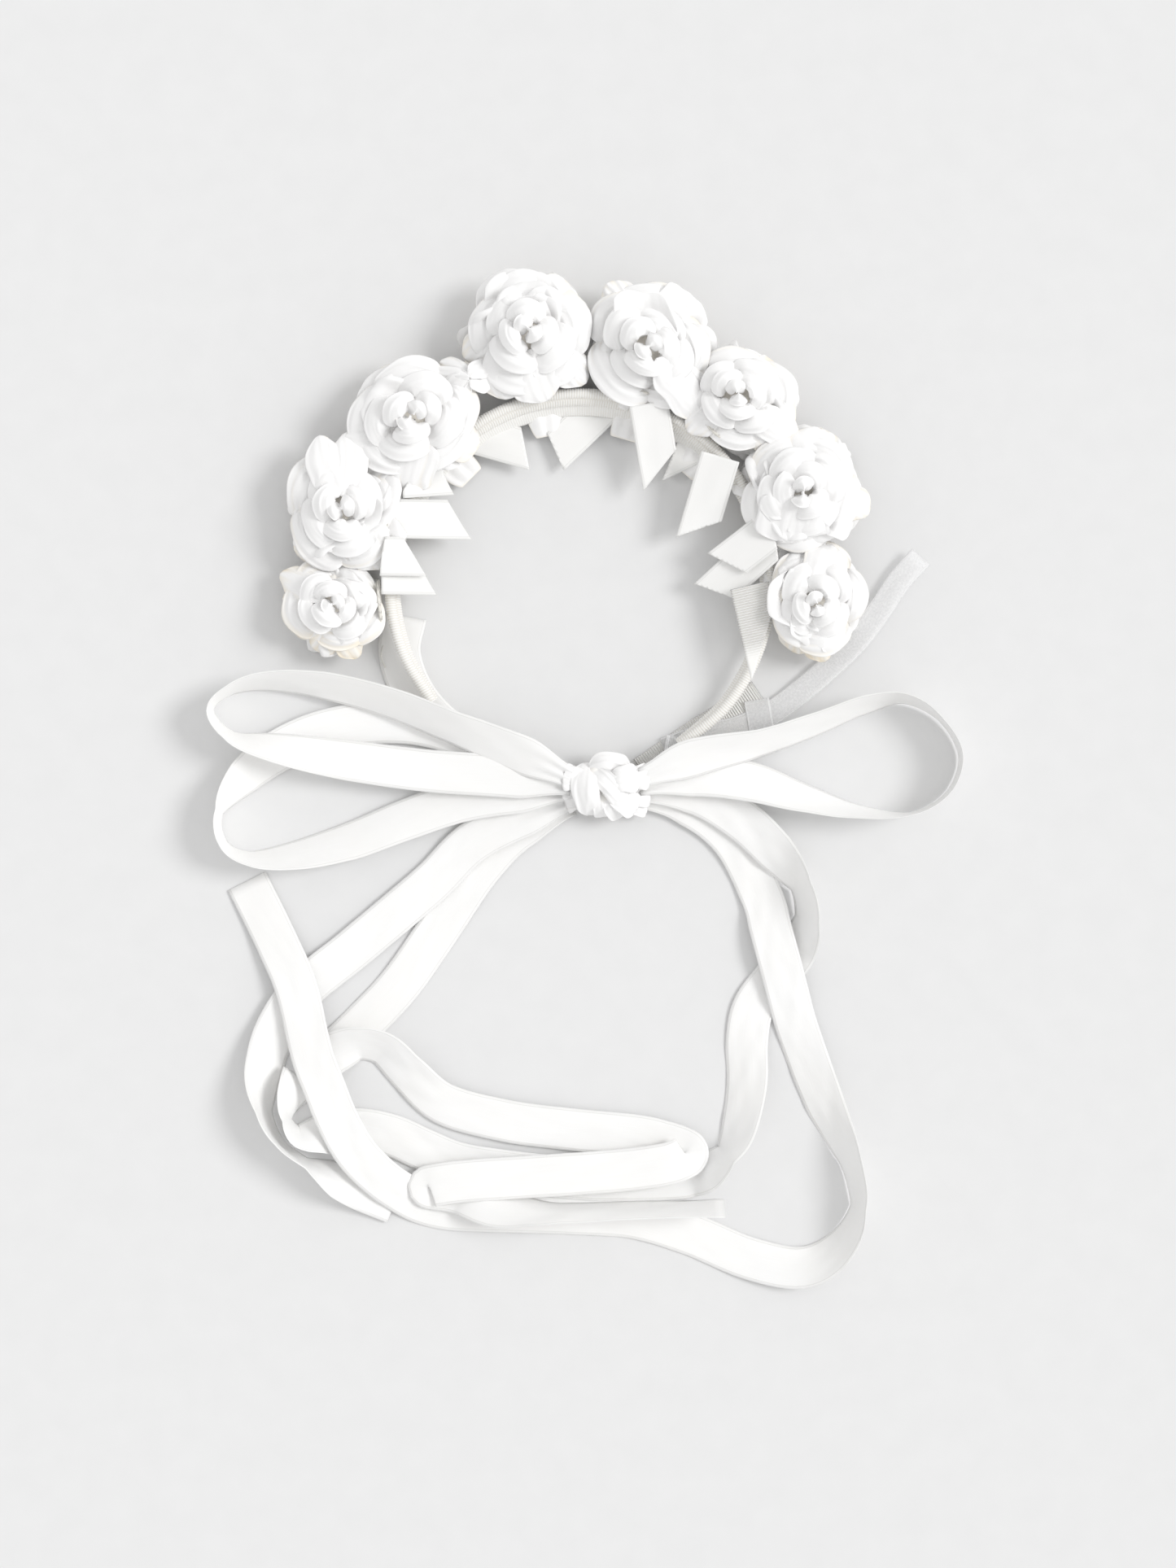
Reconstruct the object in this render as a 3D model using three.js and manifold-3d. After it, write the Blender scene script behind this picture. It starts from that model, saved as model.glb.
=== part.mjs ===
// Flower crown: a grosgrain-covered spring band that carries eight satin roses and the cut
// ends of their ribbons, tied at the open side with a satin bow that has four long tails.
// Millimetres, +Z up. The crown lies flat on Z = 0. X runs to the wearer's left-hand side of
// the band, Y from the bow towards the middle of the flowers.
import * as THREE from 'three';
import Module from 'manifold-3d';
import { mergeVertices } from 'three/addons/utils/BufferGeometryUtils.js';

const wasm = await Module();
wasm.setup();

// Fits
const GAP = 0.3;               // air between pieces that touch

// Band
const RING_RADIUS = 88;        // centreline of the band
const RING_AT = [1.4, -16.8];  // centre of the ring, seen from the middle of the crown's box
const BAND_START = -58;        // degrees, end of the band on the organza side
const BAND_END = 218;          // degrees, end of the band on the other side
const CORE_WIDTH = 7.4;
const CORE_THICK = 3.2;
const COVER_WALL = 0.7;
const BAND_TILT_BACK = 46;     // degrees, how far the band's face leans up at the flowers
const BAND_TILT_ENDS = 74;     // the same at its two ends
const BAND_Z_BACK = 13;        // height of the centreline at the flowers
const BAND_Z_ENDS = 7.4;       // height of the centreline at the ends
const BAND_STEPS = 44;

// Ribbons
const SATIN_WIDTH = 20;
const SATIN_THICK = 0.5;
const ORGANZA_WIDTH = 11.5;
const ORGANZA_THICK = 0.3;
const SAMPLES_PER_SPAN = 2;    // cross-sections between two route points

// Roses
const PAD_RADIUS = 11;
const PAD_THICK = 1.5;
const PAD_LIFT = 1;            // lowest point of a pad
const SKIRT_OVER_PAD = 3;      // how far above its pad a rose starts to lean in over the band
const ROSE_SPACING = 0.5;      // least air between neighbouring roses
const ROSE_SIDES = 22;

// Cut ribbon ends
const END_THICK = 0.6;
const END_SLOPE = 14;          // degrees, fall of an end from the band towards the middle
const END_OVER_BAND = 1.0;     // lowest end that lies over the band, above its top
const END_UNDER_BAND = 1.2;    // highest end that passes below the band, under it

// Knot
const KNOT_SIZE = [25, 25, 18];
const KNOT_AT = [13.4, -112];

const rad = THREE.MathUtils.degToRad;
const coverWidth = CORE_WIDTH + 2 * (GAP + COVER_WALL);
const coverThick = CORE_THICK + 2 * (GAP + COVER_WALL);
const bandTilt = rad(BAND_TILT_BACK);
// Half of the tilted band's height and of its breadth, where it lies under the flowers
const bandHalfHeight = (coverWidth * Math.sin(bandTilt) + coverThick * Math.cos(bandTilt)) / 2;
const bandHalfBreadth = (coverWidth * Math.cos(bandTilt) + coverThick * Math.sin(bandTilt)) / 2;
const bandTop = BAND_Z_BACK + bandHalfHeight;
const bandBottom = BAND_Z_BACK - bandHalfHeight;
const padInner = RING_RADIUS + bandHalfBreadth + GAP;
const skirtCutHeight = PAD_LIFT + 2 * PAD_RADIUS + SKIRT_OVER_PAD;
const skirtRadius = Math.hypot(padInner + PAD_THICK, PAD_RADIUS) + 2 * GAP;

const colours = {
  satin: { color: 0xf6f5f3, roughness: 0.38, metalness: 0 },
  petal: { color: 0xf8f6f3, roughness: 0.45, metalness: 0 },
  grosgrain: { color: 0xe9e7df, roughness: 0.8, metalness: 0 },
  organza: { color: 0xe6e3da, roughness: 0.5, metalness: 0 },
  felt: { color: 0xefece4, roughness: 0.95, metalness: 0 },
  core: { color: 0xd9d6cc, roughness: 0.7, metalness: 0 },
  thread: { color: 0xf4f2ee, roughness: 0.7, metalness: 0 },
};

const group = new THREE.Group();
const ring = new THREE.Group();
ring.position.set(RING_AT[0], RING_AT[1], 0);
group.add(ring);

function addPiece(parent, name, geometry, look) {
  const mesh = new THREE.Mesh(geometry, new THREE.MeshStandardMaterial(colours[look]));
  mesh.name = name;
  parent.add(mesh);
  return mesh;
}

// ---- solids for joins and cuts ----

function toSolid(geometry) {
  const bare = geometry.clone();
  bare.deleteAttribute('normal');
  bare.deleteAttribute('uv');
  const merged = mergeVertices(bare, 1e-4);
  return new wasm.Manifold(new wasm.Mesh({
    numProp: 3,
    vertProperties: new Float32Array(merged.attributes.position.array),
    triVerts: new Uint32Array(merged.index.array),
  }));
}

function toGeometry(solid) {
  const mesh = solid.getMesh();
  const geometry = new THREE.BufferGeometry();
  geometry.setAttribute('position', new THREE.BufferAttribute(mesh.vertProperties, 3));
  geometry.setIndex(new THREE.BufferAttribute(mesh.triVerts, 1));
  geometry.computeVertexNormals();
  return geometry;
}

// A lathe solid about +Z from [radius, height] points that start and end on the axis
function latheSolid(profile, sides) {
  const points = profile.map(([r, z]) => new THREE.Vector2(r, z));
  const geometry = new THREE.LatheGeometry(points, sides);
  geometry.rotateX(Math.PI / 2);
  return geometry;
}

function polarPoint(radius, degrees) {
  return [radius * Math.cos(rad(degrees)), radius * Math.sin(rad(degrees))];
}

// ---- strips that follow a route ----

// A route whose cross-sections keep a chosen roll: 0 lies flat, 90 stands on edge.
// Each route point is [x, y, z, roll in degrees].
class RolledRoute extends THREE.CatmullRomCurve3 {
  constructor(route) {
    super(route.map(([x, y, z]) => new THREE.Vector3(x, y, z)), false, 'catmullrom', 0.5);
    this.rolls = route.map((point) => point[3]);
  }

  getSpacedPoints(steps) {
    return this.getPoints(steps);
  }

  rollAt(t) {
    const place = t * (this.rolls.length - 1);
    const before = Math.min(Math.floor(place), this.rolls.length - 2);
    return rad(THREE.MathUtils.lerp(this.rolls[before], this.rolls[before + 1], place - before));
  }

  computeFrenetFrames(steps) {
    const up = new THREE.Vector3(0, 0, 1);
    const frames = { tangents: [], normals: [], binormals: [] };
    let lastSide = null;
    for (let i = 0; i <= steps; i++) {
      const tangent = this.getTangent(i / steps);
      const side = new THREE.Vector3().crossVectors(tangent, up);
      const steep = side.length() < 0.35;
      side.normalize();
      if (lastSide && steep) side.copy(lastSide);
      if (lastSide && side.dot(lastSide) < 0) side.negate();
      side.addScaledVector(tangent, -side.dot(tangent)).normalize();
      lastSide = side.clone();
      const lift = new THREE.Vector3().crossVectors(side, tangent);
      const roll = this.rollAt(i / steps);
      const across = side.multiplyScalar(Math.cos(roll)).addScaledVector(lift, Math.sin(roll));
      frames.tangents.push(tangent);
      frames.normals.push(across);
      frames.binormals.push(new THREE.Vector3().crossVectors(tangent, across));
    }
    return frames;
  }
}

function rectangle(width, thick) {
  const shape = new THREE.Shape();
  shape.moveTo(-width / 2, -thick / 2);
  shape.lineTo(width / 2, -thick / 2);
  shape.lineTo(width / 2, thick / 2);
  shape.lineTo(-width / 2, thick / 2);
  shape.closePath();
  return shape;
}

function sweep(shape, route, steps) {
  const path = new RolledRoute(route);
  return new THREE.ExtrudeGeometry(shape, { steps, extrudePath: path, bevelEnabled: false });
}

// A twisted strip's two faces need the same diagonals, or they cut through each other. The
// extrusion lists a quad's corners as a b d, b c d, and its first wall is the upper face.
function matchDiagonals(geometry, walls, steps) {
  const corners = geometry.getAttribute('position');
  const firstWall = corners.count - walls * steps * 6;
  for (let step = 0; step < steps; step++) {
    const start = firstWall + step * 6;
    const [a, b, c, d] = [0, 1, 4, 5].map(
      (k) => new THREE.Vector3().fromBufferAttribute(corners, start + k));
    [a, b, c, a, c, d].forEach((point, k) => corners.setXYZ(start + k, ...point));
  }
  return geometry;
}

function addStrip(name, route, width, thick, look) {
  const section = rectangle(width, thick);
  const steps = (route.length - 1) * SAMPLES_PER_SPAN;
  const strip = sweep(section, route, steps);
  addPiece(group, name, matchDiagonals(strip, section.getPoints().length - 1, steps), look);
}

// ---- band ----

// The band stands nearly upright at its two ends and leans open under the flowers
function bandRoute() {
  const points = 17;
  const route = [];
  for (let i = 0; i < points; i++) {
    const share = i / (points - 1);
    const [x, y] = polarPoint(RING_RADIUS, THREE.MathUtils.lerp(BAND_START, BAND_END, share));
    const back = Math.sin(Math.PI * share) ** 0.5;
    const z = THREE.MathUtils.lerp(BAND_Z_ENDS, BAND_Z_BACK, back);
    const tilt = THREE.MathUtils.lerp(BAND_TILT_ENDS, BAND_TILT_BACK, back);
    route.push([x, y, z, tilt]);
  }
  return route;
}

// A flat section with half-round edges
function roundedStrip(width, thick) {
  const half = width / 2 - thick / 2;
  const shape = new THREE.Shape();
  shape.absarc(half, 0, thick / 2, -Math.PI / 2, Math.PI / 2, false);
  shape.absarc(-half, 0, thick / 2, Math.PI / 2, 3 * Math.PI / 2, false);
  return shape;
}

function addBand() {
  const route = bandRoute();
  const settings = { steps: BAND_STEPS, bevelEnabled: false, curveSegments: 3 };
  const extrude = (shape) => new THREE.ExtrudeGeometry(
    shape, { ...settings, extrudePath: new RolledRoute(route) });
  addPiece(ring, 'band_core', extrude(roundedStrip(CORE_WIDTH, CORE_THICK)), 'core');
  const cover = roundedStrip(coverWidth, coverThick);
  cover.holes.push(roundedStrip(CORE_WIDTH + 2 * GAP, CORE_THICK + 2 * GAP));
  addPiece(ring, 'band_cover', extrude(cover), 'grosgrain');
}

// ---- roses ----

// In order round the ring, from the organza side: radius, height, how far the middle stands
// out from the band's centreline, and the air before the next rose beyond ROSE_SPACING
const roses = [
  { name: 'rose_1', radius: 23, height: 36, out: 21.5, after: 0.2 },
  { name: 'rose_2', radius: 26.5, height: 42, out: 22.6, after: 0.3 },
  { name: 'rose_3', radius: 22.5, height: 38, out: 25.4, after: 0 },
  { name: 'rose_4', radius: 26, height: 42, out: 25.6, after: 2 },
  { name: 'rose_5', radius: 27.5, height: 44, out: 29.6, after: 12.5 },
  { name: 'rose_6', radius: 25.5, height: 42, out: 20.5, after: 0.8 },
  { name: 'rose_7', radius: 25, height: 40, out: 27.2, after: 0 },
  { name: 'rose_8', radius: 20.5, height: 34, out: 26.5, after: 0 },
];
const FIRST_ROSE = -3.2;       // degrees
const CLUSTER_AFTER = 'rose_5';
const CLUSTER = { radius: 5.5, length: 15, height: 30 };

// Angle between two stand-off radii whose points are a given distance apart
function angleForChord(radiusA, radiusB, chord) {
  const cosine = (radiusA ** 2 + radiusB ** 2 - chord ** 2) / (2 * radiusA * radiusB);
  return THREE.MathUtils.radToDeg(Math.acos(cosine));
}

function placeRoses() {
  let angle = FIRST_ROSE;
  roses.forEach((rose, i) => {
    const before = roses[i - 1];
    rose.from = RING_RADIUS + rose.out;
    if (before) {
      const chord = before.radius + rose.radius + ROSE_SPACING + before.after;
      angle += angleForChord(before.from, rose.from, chord);
    }
    rose.angle = angle;
  });
}

// What the band and the pads take up below skirtCutHeight
function skirtCutter() {
  const depth = skirtCutHeight + 10;
  const disc = new THREE.CylinderGeometry(skirtRadius, skirtRadius, depth, 90);
  disc.rotateX(Math.PI / 2);
  disc.translate(0, 0, skirtCutHeight - depth / 2);
  return toSolid(disc);
}

// Bowl of outer petals: flat underneath, bulging at the side, open in the middle for the heart
function petalProfile(rose) {
  const r = rose.radius;
  const h = rose.height;
  return [
    [0, 0], [0.8 * r, 0], [r, 0.24 * h], [0.97 * r, 0.52 * h], [0.78 * r, 0.8 * h],
    [0.56 * r, 0.72 * h], [0.5 * r, 0.42 * h], [0, 0.36 * h],
  ];
}

// Heart of furled petals that sits in the bowl
function heartProfile(rose) {
  const r = rose.radius;
  const h = rose.height;
  return [
    [0, 0.36 * h + GAP], [0.5 * r - 2 * GAP, 0.42 * h + GAP], [0.56 * r - 2 * GAP, 0.74 * h],
    [0.4 * r, 0.92 * h], [0, h],
  ];
}

function addRose(rose, cutter) {
  const [x, y] = polarPoint(rose.from, rose.angle);
  const petals = latheSolid(petalProfile(rose), ROSE_SIDES);
  petals.translate(x, y, 0);
  addPiece(ring, `${rose.name}_petals`, toGeometry(toSolid(petals).subtract(cutter)), 'petal');
  const heart = latheSolid(heartProfile(rose), ROSE_SIDES - 6);
  heart.translate(x, y, 0);
  addPiece(ring, `${rose.name}_heart`, toGeometry(toSolid(heart).subtract(cutter)), 'petal');
  const pad = new THREE.CylinderGeometry(PAD_RADIUS, PAD_RADIUS, PAD_THICK, 18);
  pad.rotateZ(Math.PI / 2);
  const mesh = addPiece(ring, `${rose.name}_pad`, pad, 'felt');
  const [padX, padY] = polarPoint(padInner + PAD_THICK / 2, rose.angle);
  mesh.position.set(padX, padY, PAD_RADIUS + PAD_LIFT);
  mesh.rotation.z = rad(rose.angle);
}

// Loose petals that fill the room between two roses, longest along the ring's radius
function addCluster(cutter) {
  const i = roses.findIndex((rose) => rose.name === CLUSTER_AFTER);
  const [left, right] = [roses[i], roses[i + 1]];
  const a = new THREE.Vector2(...polarPoint(left.from, left.angle));
  const b = new THREE.Vector2(...polarPoint(right.from, right.angle));
  const along = b.clone().sub(a).normalize();
  const middle = a.clone().addScaledVector(
    along, left.radius + (a.distanceTo(b) - left.radius - right.radius) / 2);
  const h = CLUSTER.height;
  const body = latheSolid(
    [[0, 0], [0.8, 0], [1, 0.3 * h], [0.75, 0.8 * h], [0, h]], ROSE_SIDES - 6);
  body.scale(CLUSTER.radius, CLUSTER.length, 1);
  body.rotateZ(along.angle());
  body.translate(middle.x, middle.y, 0);
  addPiece(ring, 'petal_cluster', toGeometry(toSolid(body).subtract(cutter)), 'petal');
}

// ---- cut ribbon ends ----

// Each end: where its tip is (degrees round the ring, depth inside the band's centreline),
// the way it points, how far back the diagonal cut runs from square, the side its tip is on
// (1 right, -1 left, seen from above), its length, and its layer over or under the band
const ribbonEnds = [
  { name: 'ribbon_end_1', at: 144.7, depth: 15.5, heading: 5, cut: 21, tip: 1, length: 24, layer: 1 },
  { name: 'ribbon_end_2', at: 157.5, depth: 32.6, heading: 0, cut: 32, tip: 1, length: 38, layer: 2 },
  { name: 'ribbon_end_3', at: 177.2, depth: 16, heading: 0, cut: 31, tip: 1, length: 22, layer: 4 },
  { name: 'ribbon_end_4', at: 184.2, depth: 20.5, heading: 0, cut: 30, tip: 1, length: 26, layer: 2 },
  { name: 'ribbon_end_5', at: 113.7, depth: 28.8, heading: -16, cut: 27, tip: 1, length: 36, layer: -1 },
  { name: 'ribbon_end_6', at: 98.1, depth: 33.3, heading: 224, cut: 20, tip: -1, length: 38, layer: -2 },
  { name: 'ribbon_end_7', at: 56.2, depth: 34.8, heading: -80, cut: 42, tip: 1, length: 40, layer: 2 },
  { name: 'ribbon_end_8', at: 52, depth: 25.5, heading: 205, cut: 47, tip: -1, length: 34, layer: -1 },
  { name: 'ribbon_end_9', at: 26.8, depth: 37.6, heading: 253.5, cut: 35, tip: 1, length: 42, layer: 3 },
  { name: 'ribbon_end_10', at: 13.8, depth: 26.6, heading: 217, cut: 26, tip: 1, length: 32, layer: 4 },
  { name: 'ribbon_end_11', at: 0.8, depth: 34.5, heading: 222, cut: 28, tip: 1, length: 40, layer: 1 },
  { name: 'ribbon_end_12', at: -29.7, depth: -4, heading: -77, cut: 60, tip: 1, length: 44, layer: 1 },
];
const END_WIDTH = 18.4;
const END_LAYER = 1.2;         // height from one layer of ends to the next

// A strip whose tip is at the origin and that runs back along -X; its long edge ends at the tip
function endOutline(end) {
  const back = END_WIDTH * Math.tan(rad(end.cut));
  const across = end.tip * END_WIDTH;
  const shape = new THREE.Shape();
  shape.moveTo(0, 0);
  shape.lineTo(-Math.min(back, end.length - 2), across);
  shape.lineTo(-end.length, across);
  shape.lineTo(-end.length, 0);
  shape.closePath();
  return shape;
}

function addRibbonEnd(end, trim) {
  const slope = Math.tan(rad(END_SLOPE));
  const over = bandTop + END_OVER_BAND + (end.layer - 1) * END_LAYER;
  const under = bandBottom - END_UNDER_BAND + (end.layer + 1) * END_LAYER;
  const atBand = end.layer > 0 ? over : under;
  const fall = end.layer > 0 ? Math.max(0, end.depth) * slope : 0;
  const plate = new THREE.ExtrudeGeometry(endOutline(end), { depth: END_THICK, bevelEnabled: false });
  plate.translate(0, 0, -END_THICK / 2);
  plate.rotateY(end.layer > 0 && end.depth > 0 ? rad(END_SLOPE) : 0);
  plate.rotateZ(rad(end.heading));
  const [x, y] = polarPoint(RING_RADIUS - end.depth, end.at);
  plate.translate(x, y, atBand - fall);
  addPiece(ring, end.name, toGeometry(toSolid(plate).intersect(trim)), 'satin');
}

function addRibbonEnds() {
  const reach = padInner - GAP;
  const height = 2 * skirtCutHeight;
  const disc = new THREE.CylinderGeometry(reach, reach, height, 90);
  disc.rotateX(Math.PI / 2);
  const trim = toSolid(disc);
  ribbonEnds.forEach((end) => addRibbonEnd(end, trim));
}

// Stub of the sewing cord that hangs out below the last rose
function addThread() {
  const route = [[-91.5, -45, 5, 0], [-92, -49, 3.6, 0], [-91, -55, 2.4, 0]];
  const circle = new THREE.Shape();
  circle.absarc(0, 0, 0.45, 0, 2 * Math.PI, false);
  const path = new RolledRoute(route);
  const settings = { steps: 4, extrudePath: path, bevelEnabled: false, curveSegments: 4 };
  addPiece(group, 'thread_end', new THREE.ExtrudeGeometry(circle, settings), 'thread');
}

// ---- bow ----

function addKnot() {
  const [width, length, height] = KNOT_SIZE;
  const radius = 5;
  const shape = roundedBox(width, length, radius);
  const body = new THREE.ExtrudeGeometry(shape, {
    depth: height - 4, bevelEnabled: true, bevelThickness: 2, bevelSize: 2, bevelOffset: -2,
    bevelSegments: 1, curveSegments: 3,
  });
  const mesh = addPiece(group, 'bow_knot', body, 'satin');
  mesh.position.set(KNOT_AT[0], KNOT_AT[1], 2);
}

function roundedBox(width, length, radius) {
  const [x, y] = [width / 2 - radius, length / 2 - radius];
  const shape = new THREE.Shape();
  shape.absarc(x, y, radius, 0, Math.PI / 2, false);
  shape.absarc(-x, y, radius, Math.PI / 2, Math.PI, false);
  shape.absarc(-x, -y, radius, Math.PI, 3 * Math.PI / 2, false);
  shape.absarc(x, -y, radius, 3 * Math.PI / 2, 2 * Math.PI, false);
  return shape;
}

const bowRoutes = {
  loop_upper_left: [
    [-3, -107, 16, 8], [-27, -96, 15, 25], [-57, -84, 14, 40], [-88, -72, 13, 45],
    [-119, -64, 12.5, 50], [-146, -62, 12, 65], [-163, -66, 11.5, 80], [-172, -75, 11.5, 88],
    [-163, -87, 13, 78], [-142, -93, 14, 48], [-107, -99, 9.5, 18], [-69, -104, 9, 5],
    [-27, -107, 11.5, 0], [-3, -111, 13.5, 0],
  ],
  loop_lower_left: [
    [-4, -110, 11, 0], [-32, -98, 6, 0], [-65, -84, 3, 0], [-92, -81, 2.5, 5],
    [-119, -85, 2.5, 6], [-140, -94, 2.6, 8], [-157, -107, 7, 38], [-168, -123, 10.5, 85],
    [-166, -138, 10.5, 85], [-154, -145, 10, 72], [-134, -144, 8, 48], [-107, -137, 6, 28],
    [-81, -127, 5.5, 15], [-54, -118, 6, 6], [-27, -114, 8, 0], [-3, -113, 8.5, 0],
  ],
  loop_right: [
    [30, -107, 15, -5], [54, -98, 16, -25], [85, -91, 14, -50], [112, -82, 13, -58],
    [135, -73, 12.5, -65], [154, -70, 12, -78], [171, -80, 11.5, -88], [180, -97, 11, -90],
    [174, -114, 11, -90], [157, -124, 11, -88], [131, -123, 10.5, -70], [104, -116, 10, -45],
    [81, -109, 9.5, -20], [54, -106, 10, -5], [29, -111, 11.5, 0],
  ],
  tail_inner_right: [
    [29, -114, 7, 0], [54, -114, 5, 0], [76, -126, 5, 0], [93, -142, 7.5, -20],
    [105, -158, 10, -62], [108, -174, 9, -58], [103, -189, 3, -14], [93, -202, 1.2, 0],
    [83, -216, 1.2, 0], [80, -232, 2, -8], [80, -251, 4, -20], [76, -273, 7, -40],
    [70, -284, 9, -62], [62, -292, 6, -32], [54, -295, 2, -6], [44, -296.5, 1.6, 0],
    [12, -297, 1.6, 0], [-15, -295, 1.6, 0], [-40, -292, 1.6, 0], [-57, -289, 1, 0],
    [-72, -283, 0.8, 0], [-88, -276, 0.8, 0], [-105, -273, 1.8, -6], [-119, -275, 4.4, -20],
    [-130, -276, 10, -68], [-136, -268, 10.5, -84], [-135, -258, 8.5, -52], [-130, -248, 4, -14],
  ],
  tail_outer_right: [
    [29, -117, 4, 0], [52, -120, 2.5, 0], [73, -136, 2, 0], [87, -163, 2, 0],
    [91, -178, 6, 0], [95, -193, 7, 0], [99, -208, 5, 0], [104, -226, 2, -4],
    [116, -259, 4.4, -22], [128, -286, 9, -60], [132, -309, 10.3, -75], [123, -328, 8, -48],
    [106, -338, 4, -18], [81, -334, 1.2, -3], [54, -323, 0.6, 0], [27, -315, 0.6, 0],
    [-4, -313, 0.6, 0], [-34, -312, 0.6, 0], [-60, -311, 0.6, 0], [-73, -308, 1, 0],
    [-84, -302, 4, 5], [-94, -294, 7.5, 4], [-104, -283, 9.8, 0], [-112, -269, 9.8, 0],
    [-119, -252, 9, 0], [-125, -236, 8.5, 0], [-132, -207, 6, 0], [-141, -186, 3.5, 0],
    [-156, -156, 0.8, 0],
  ],
  tail_outer_left: [
    [-2, -118, 6, 0], [-27, -126, 4, 0], [-50, -138, 2.6, 0], [-67, -155, 1.9, 0],
    [-82, -168, 1.9, 0], [-107, -189, 2, 3], [-129, -207, 2.6, 6], [-142, -226, 3, 10],
    [-148, -247, 6, 32], [-147, -264, 9.8, 72], [-140, -278, 10.5, 85], [-127, -288, 10.5, 85],
    [-113, -296, 7, 42], [-100, -302, 3, 12], [-86, -308, 1.4, 0],
  ],
  tail_inner_left: [
    [-2, -120, 3.5, 0], [-27, -131, 2, 0], [-46, -150, 1, 0], [-65, -178, 0.8, 0],
    [-84, -205, 0.8, 0], [-104, -226, 0.8, 0], [-116, -237.5, 1, 0], [-120.5, -241.5, 1.4, 0],
    [-122, -243, 2.8, 0], [-120.5, -241.5, 4.2, 0], [-113, -236, 4.6, -8], [-103, -232.5, 6, -33],
    [-91, -235, 6, -33], [-79, -247, 4.2, -20], [-63, -261, 2.6, -5], [-34, -269, 2.2, 0],
    [-4, -273, 2.2, 0], [27, -276, 2.2, 0], [41, -279, 2.2, 0], [50, -282, 2.6, 0],
    [52, -284, 4.6, 0], [50, -286, 6.8, 0], [41, -289, 7.4, 0], [19, -292, 6.8, 0],
    [-23, -295, 6.5, 0], [-52, -297, 6.2, 0], [-67, -299, 5.8, 0], [-70, -300, 4.6, 0],
    [-67, -301, 3.2, 0], [-55, -303, 3.4, 5], [-40, -309, 7.6, 30], [-25, -311, 10, 52],
    [-8, -311.5, 11.9, 70], [35, -309.5, 11.9, 72], [69, -309, 11.9, 72],
  ],
  strap_left: [
    [-81, -31, 0.6, 0], [-84, -47, 0.6, 0], [-79, -64, 0.6, 0], [-67, -80, 0.6, 0],
    [-46, -95, 0.6, 0], [-23, -105, 0.6, 0], [-3, -111, 1, 0],
  ],
  strap_right: [
    [88, -70, 0.6, 0], [73, -80, 0.6, 0], [58, -89, 0.6, 0], [45, -98, 0.6, 0],
    [32, -107, 1.4, 0],
  ],
};

const organzaRoute = [
  [162, -3, 5, 0], [152, -14, 4, 0], [144, -26, 3, 0], [133, -41, 3, 0], [121, -53, 3, 0],
  [106, -66, 3, 0], [91, -77, 2, 0], [75, -84, 1.3, 0], [60, -87, 1.3, 0], [41, -94, 1.3, 0],
];

function addBow() {
  addKnot();
  for (const [name, route] of Object.entries(bowRoutes)) {
    addStrip(name, route, SATIN_WIDTH, SATIN_THICK, 'satin');
  }
  addStrip('organza_ribbon', organzaRoute, ORGANZA_WIDTH, ORGANZA_THICK, 'organza');
}

placeRoses();
addBand();
const cutter = skirtCutter();
roses.forEach((rose) => addRose(rose, cutter));
addCluster(cutter);
addRibbonEnds();
addThread();
addBow();

export default group;
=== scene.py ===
# Looks of the flower crown, in metres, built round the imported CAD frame.
import math
import random

import bmesh
import bpy
from mathutils import Matrix, Vector, noise


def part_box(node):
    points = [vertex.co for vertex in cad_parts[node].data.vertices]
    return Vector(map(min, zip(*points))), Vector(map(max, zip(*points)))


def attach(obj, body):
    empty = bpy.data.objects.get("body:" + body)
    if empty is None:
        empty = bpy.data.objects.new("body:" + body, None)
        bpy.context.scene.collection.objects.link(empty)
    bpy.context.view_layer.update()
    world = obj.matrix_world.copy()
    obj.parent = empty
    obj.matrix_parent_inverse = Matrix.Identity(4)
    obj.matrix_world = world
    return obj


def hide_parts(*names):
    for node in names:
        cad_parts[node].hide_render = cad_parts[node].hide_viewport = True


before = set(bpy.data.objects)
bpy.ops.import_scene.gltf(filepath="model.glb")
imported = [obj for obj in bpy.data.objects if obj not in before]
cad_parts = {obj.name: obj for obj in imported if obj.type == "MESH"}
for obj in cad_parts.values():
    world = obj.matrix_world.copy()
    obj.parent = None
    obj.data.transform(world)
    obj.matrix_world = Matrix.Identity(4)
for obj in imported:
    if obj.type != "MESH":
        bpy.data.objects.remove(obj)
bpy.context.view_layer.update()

SEED = 20240611

# ---- camera ----

VIEW_CENTRE = (0.0051, -0.1101)
VIEW_HEIGHT = 0.741            # metres of table seen from the top edge to the bottom edge
CAMERA_HEIGHT = 1.5
SENSOR = 36.0


def add_camera():
    data = bpy.data.cameras.new("camera")
    data.sensor_width = SENSOR
    data.sensor_fit = "AUTO"
    data.lens = SENSOR * CAMERA_HEIGHT / VIEW_HEIGHT
    camera = bpy.data.objects.new("camera", data)
    camera.location = (*VIEW_CENTRE, CAMERA_HEIGHT)
    bpy.context.scene.collection.objects.link(camera)
    bpy.context.scene.camera = camera


add_camera()

# ---- small helpers ----

UP = Vector((0, 0, 1))


def lerp(a, b, t):
    return a + (b - a) * t


def smooth(t):
    t = min(max(t, 0.0), 1.0)
    return t * t * (3 - 2 * t)


# The level direction at an angle in degrees
def heading(degrees):
    angle = math.radians(degrees)
    return Vector((math.cos(angle), math.sin(angle), 0))


# The level direction a quarter turn to the left of another
def left_of(direction):
    return Vector((-direction.y, direction.x, 0))


def middle_of(node_name):
    low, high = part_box(node_name)
    return (low + high) / 2


# A node's mean radius, seen from above
def radius_of(node_name):
    low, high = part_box(node_name)
    return (high.x - low.x + high.y - low.y) / 4


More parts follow.
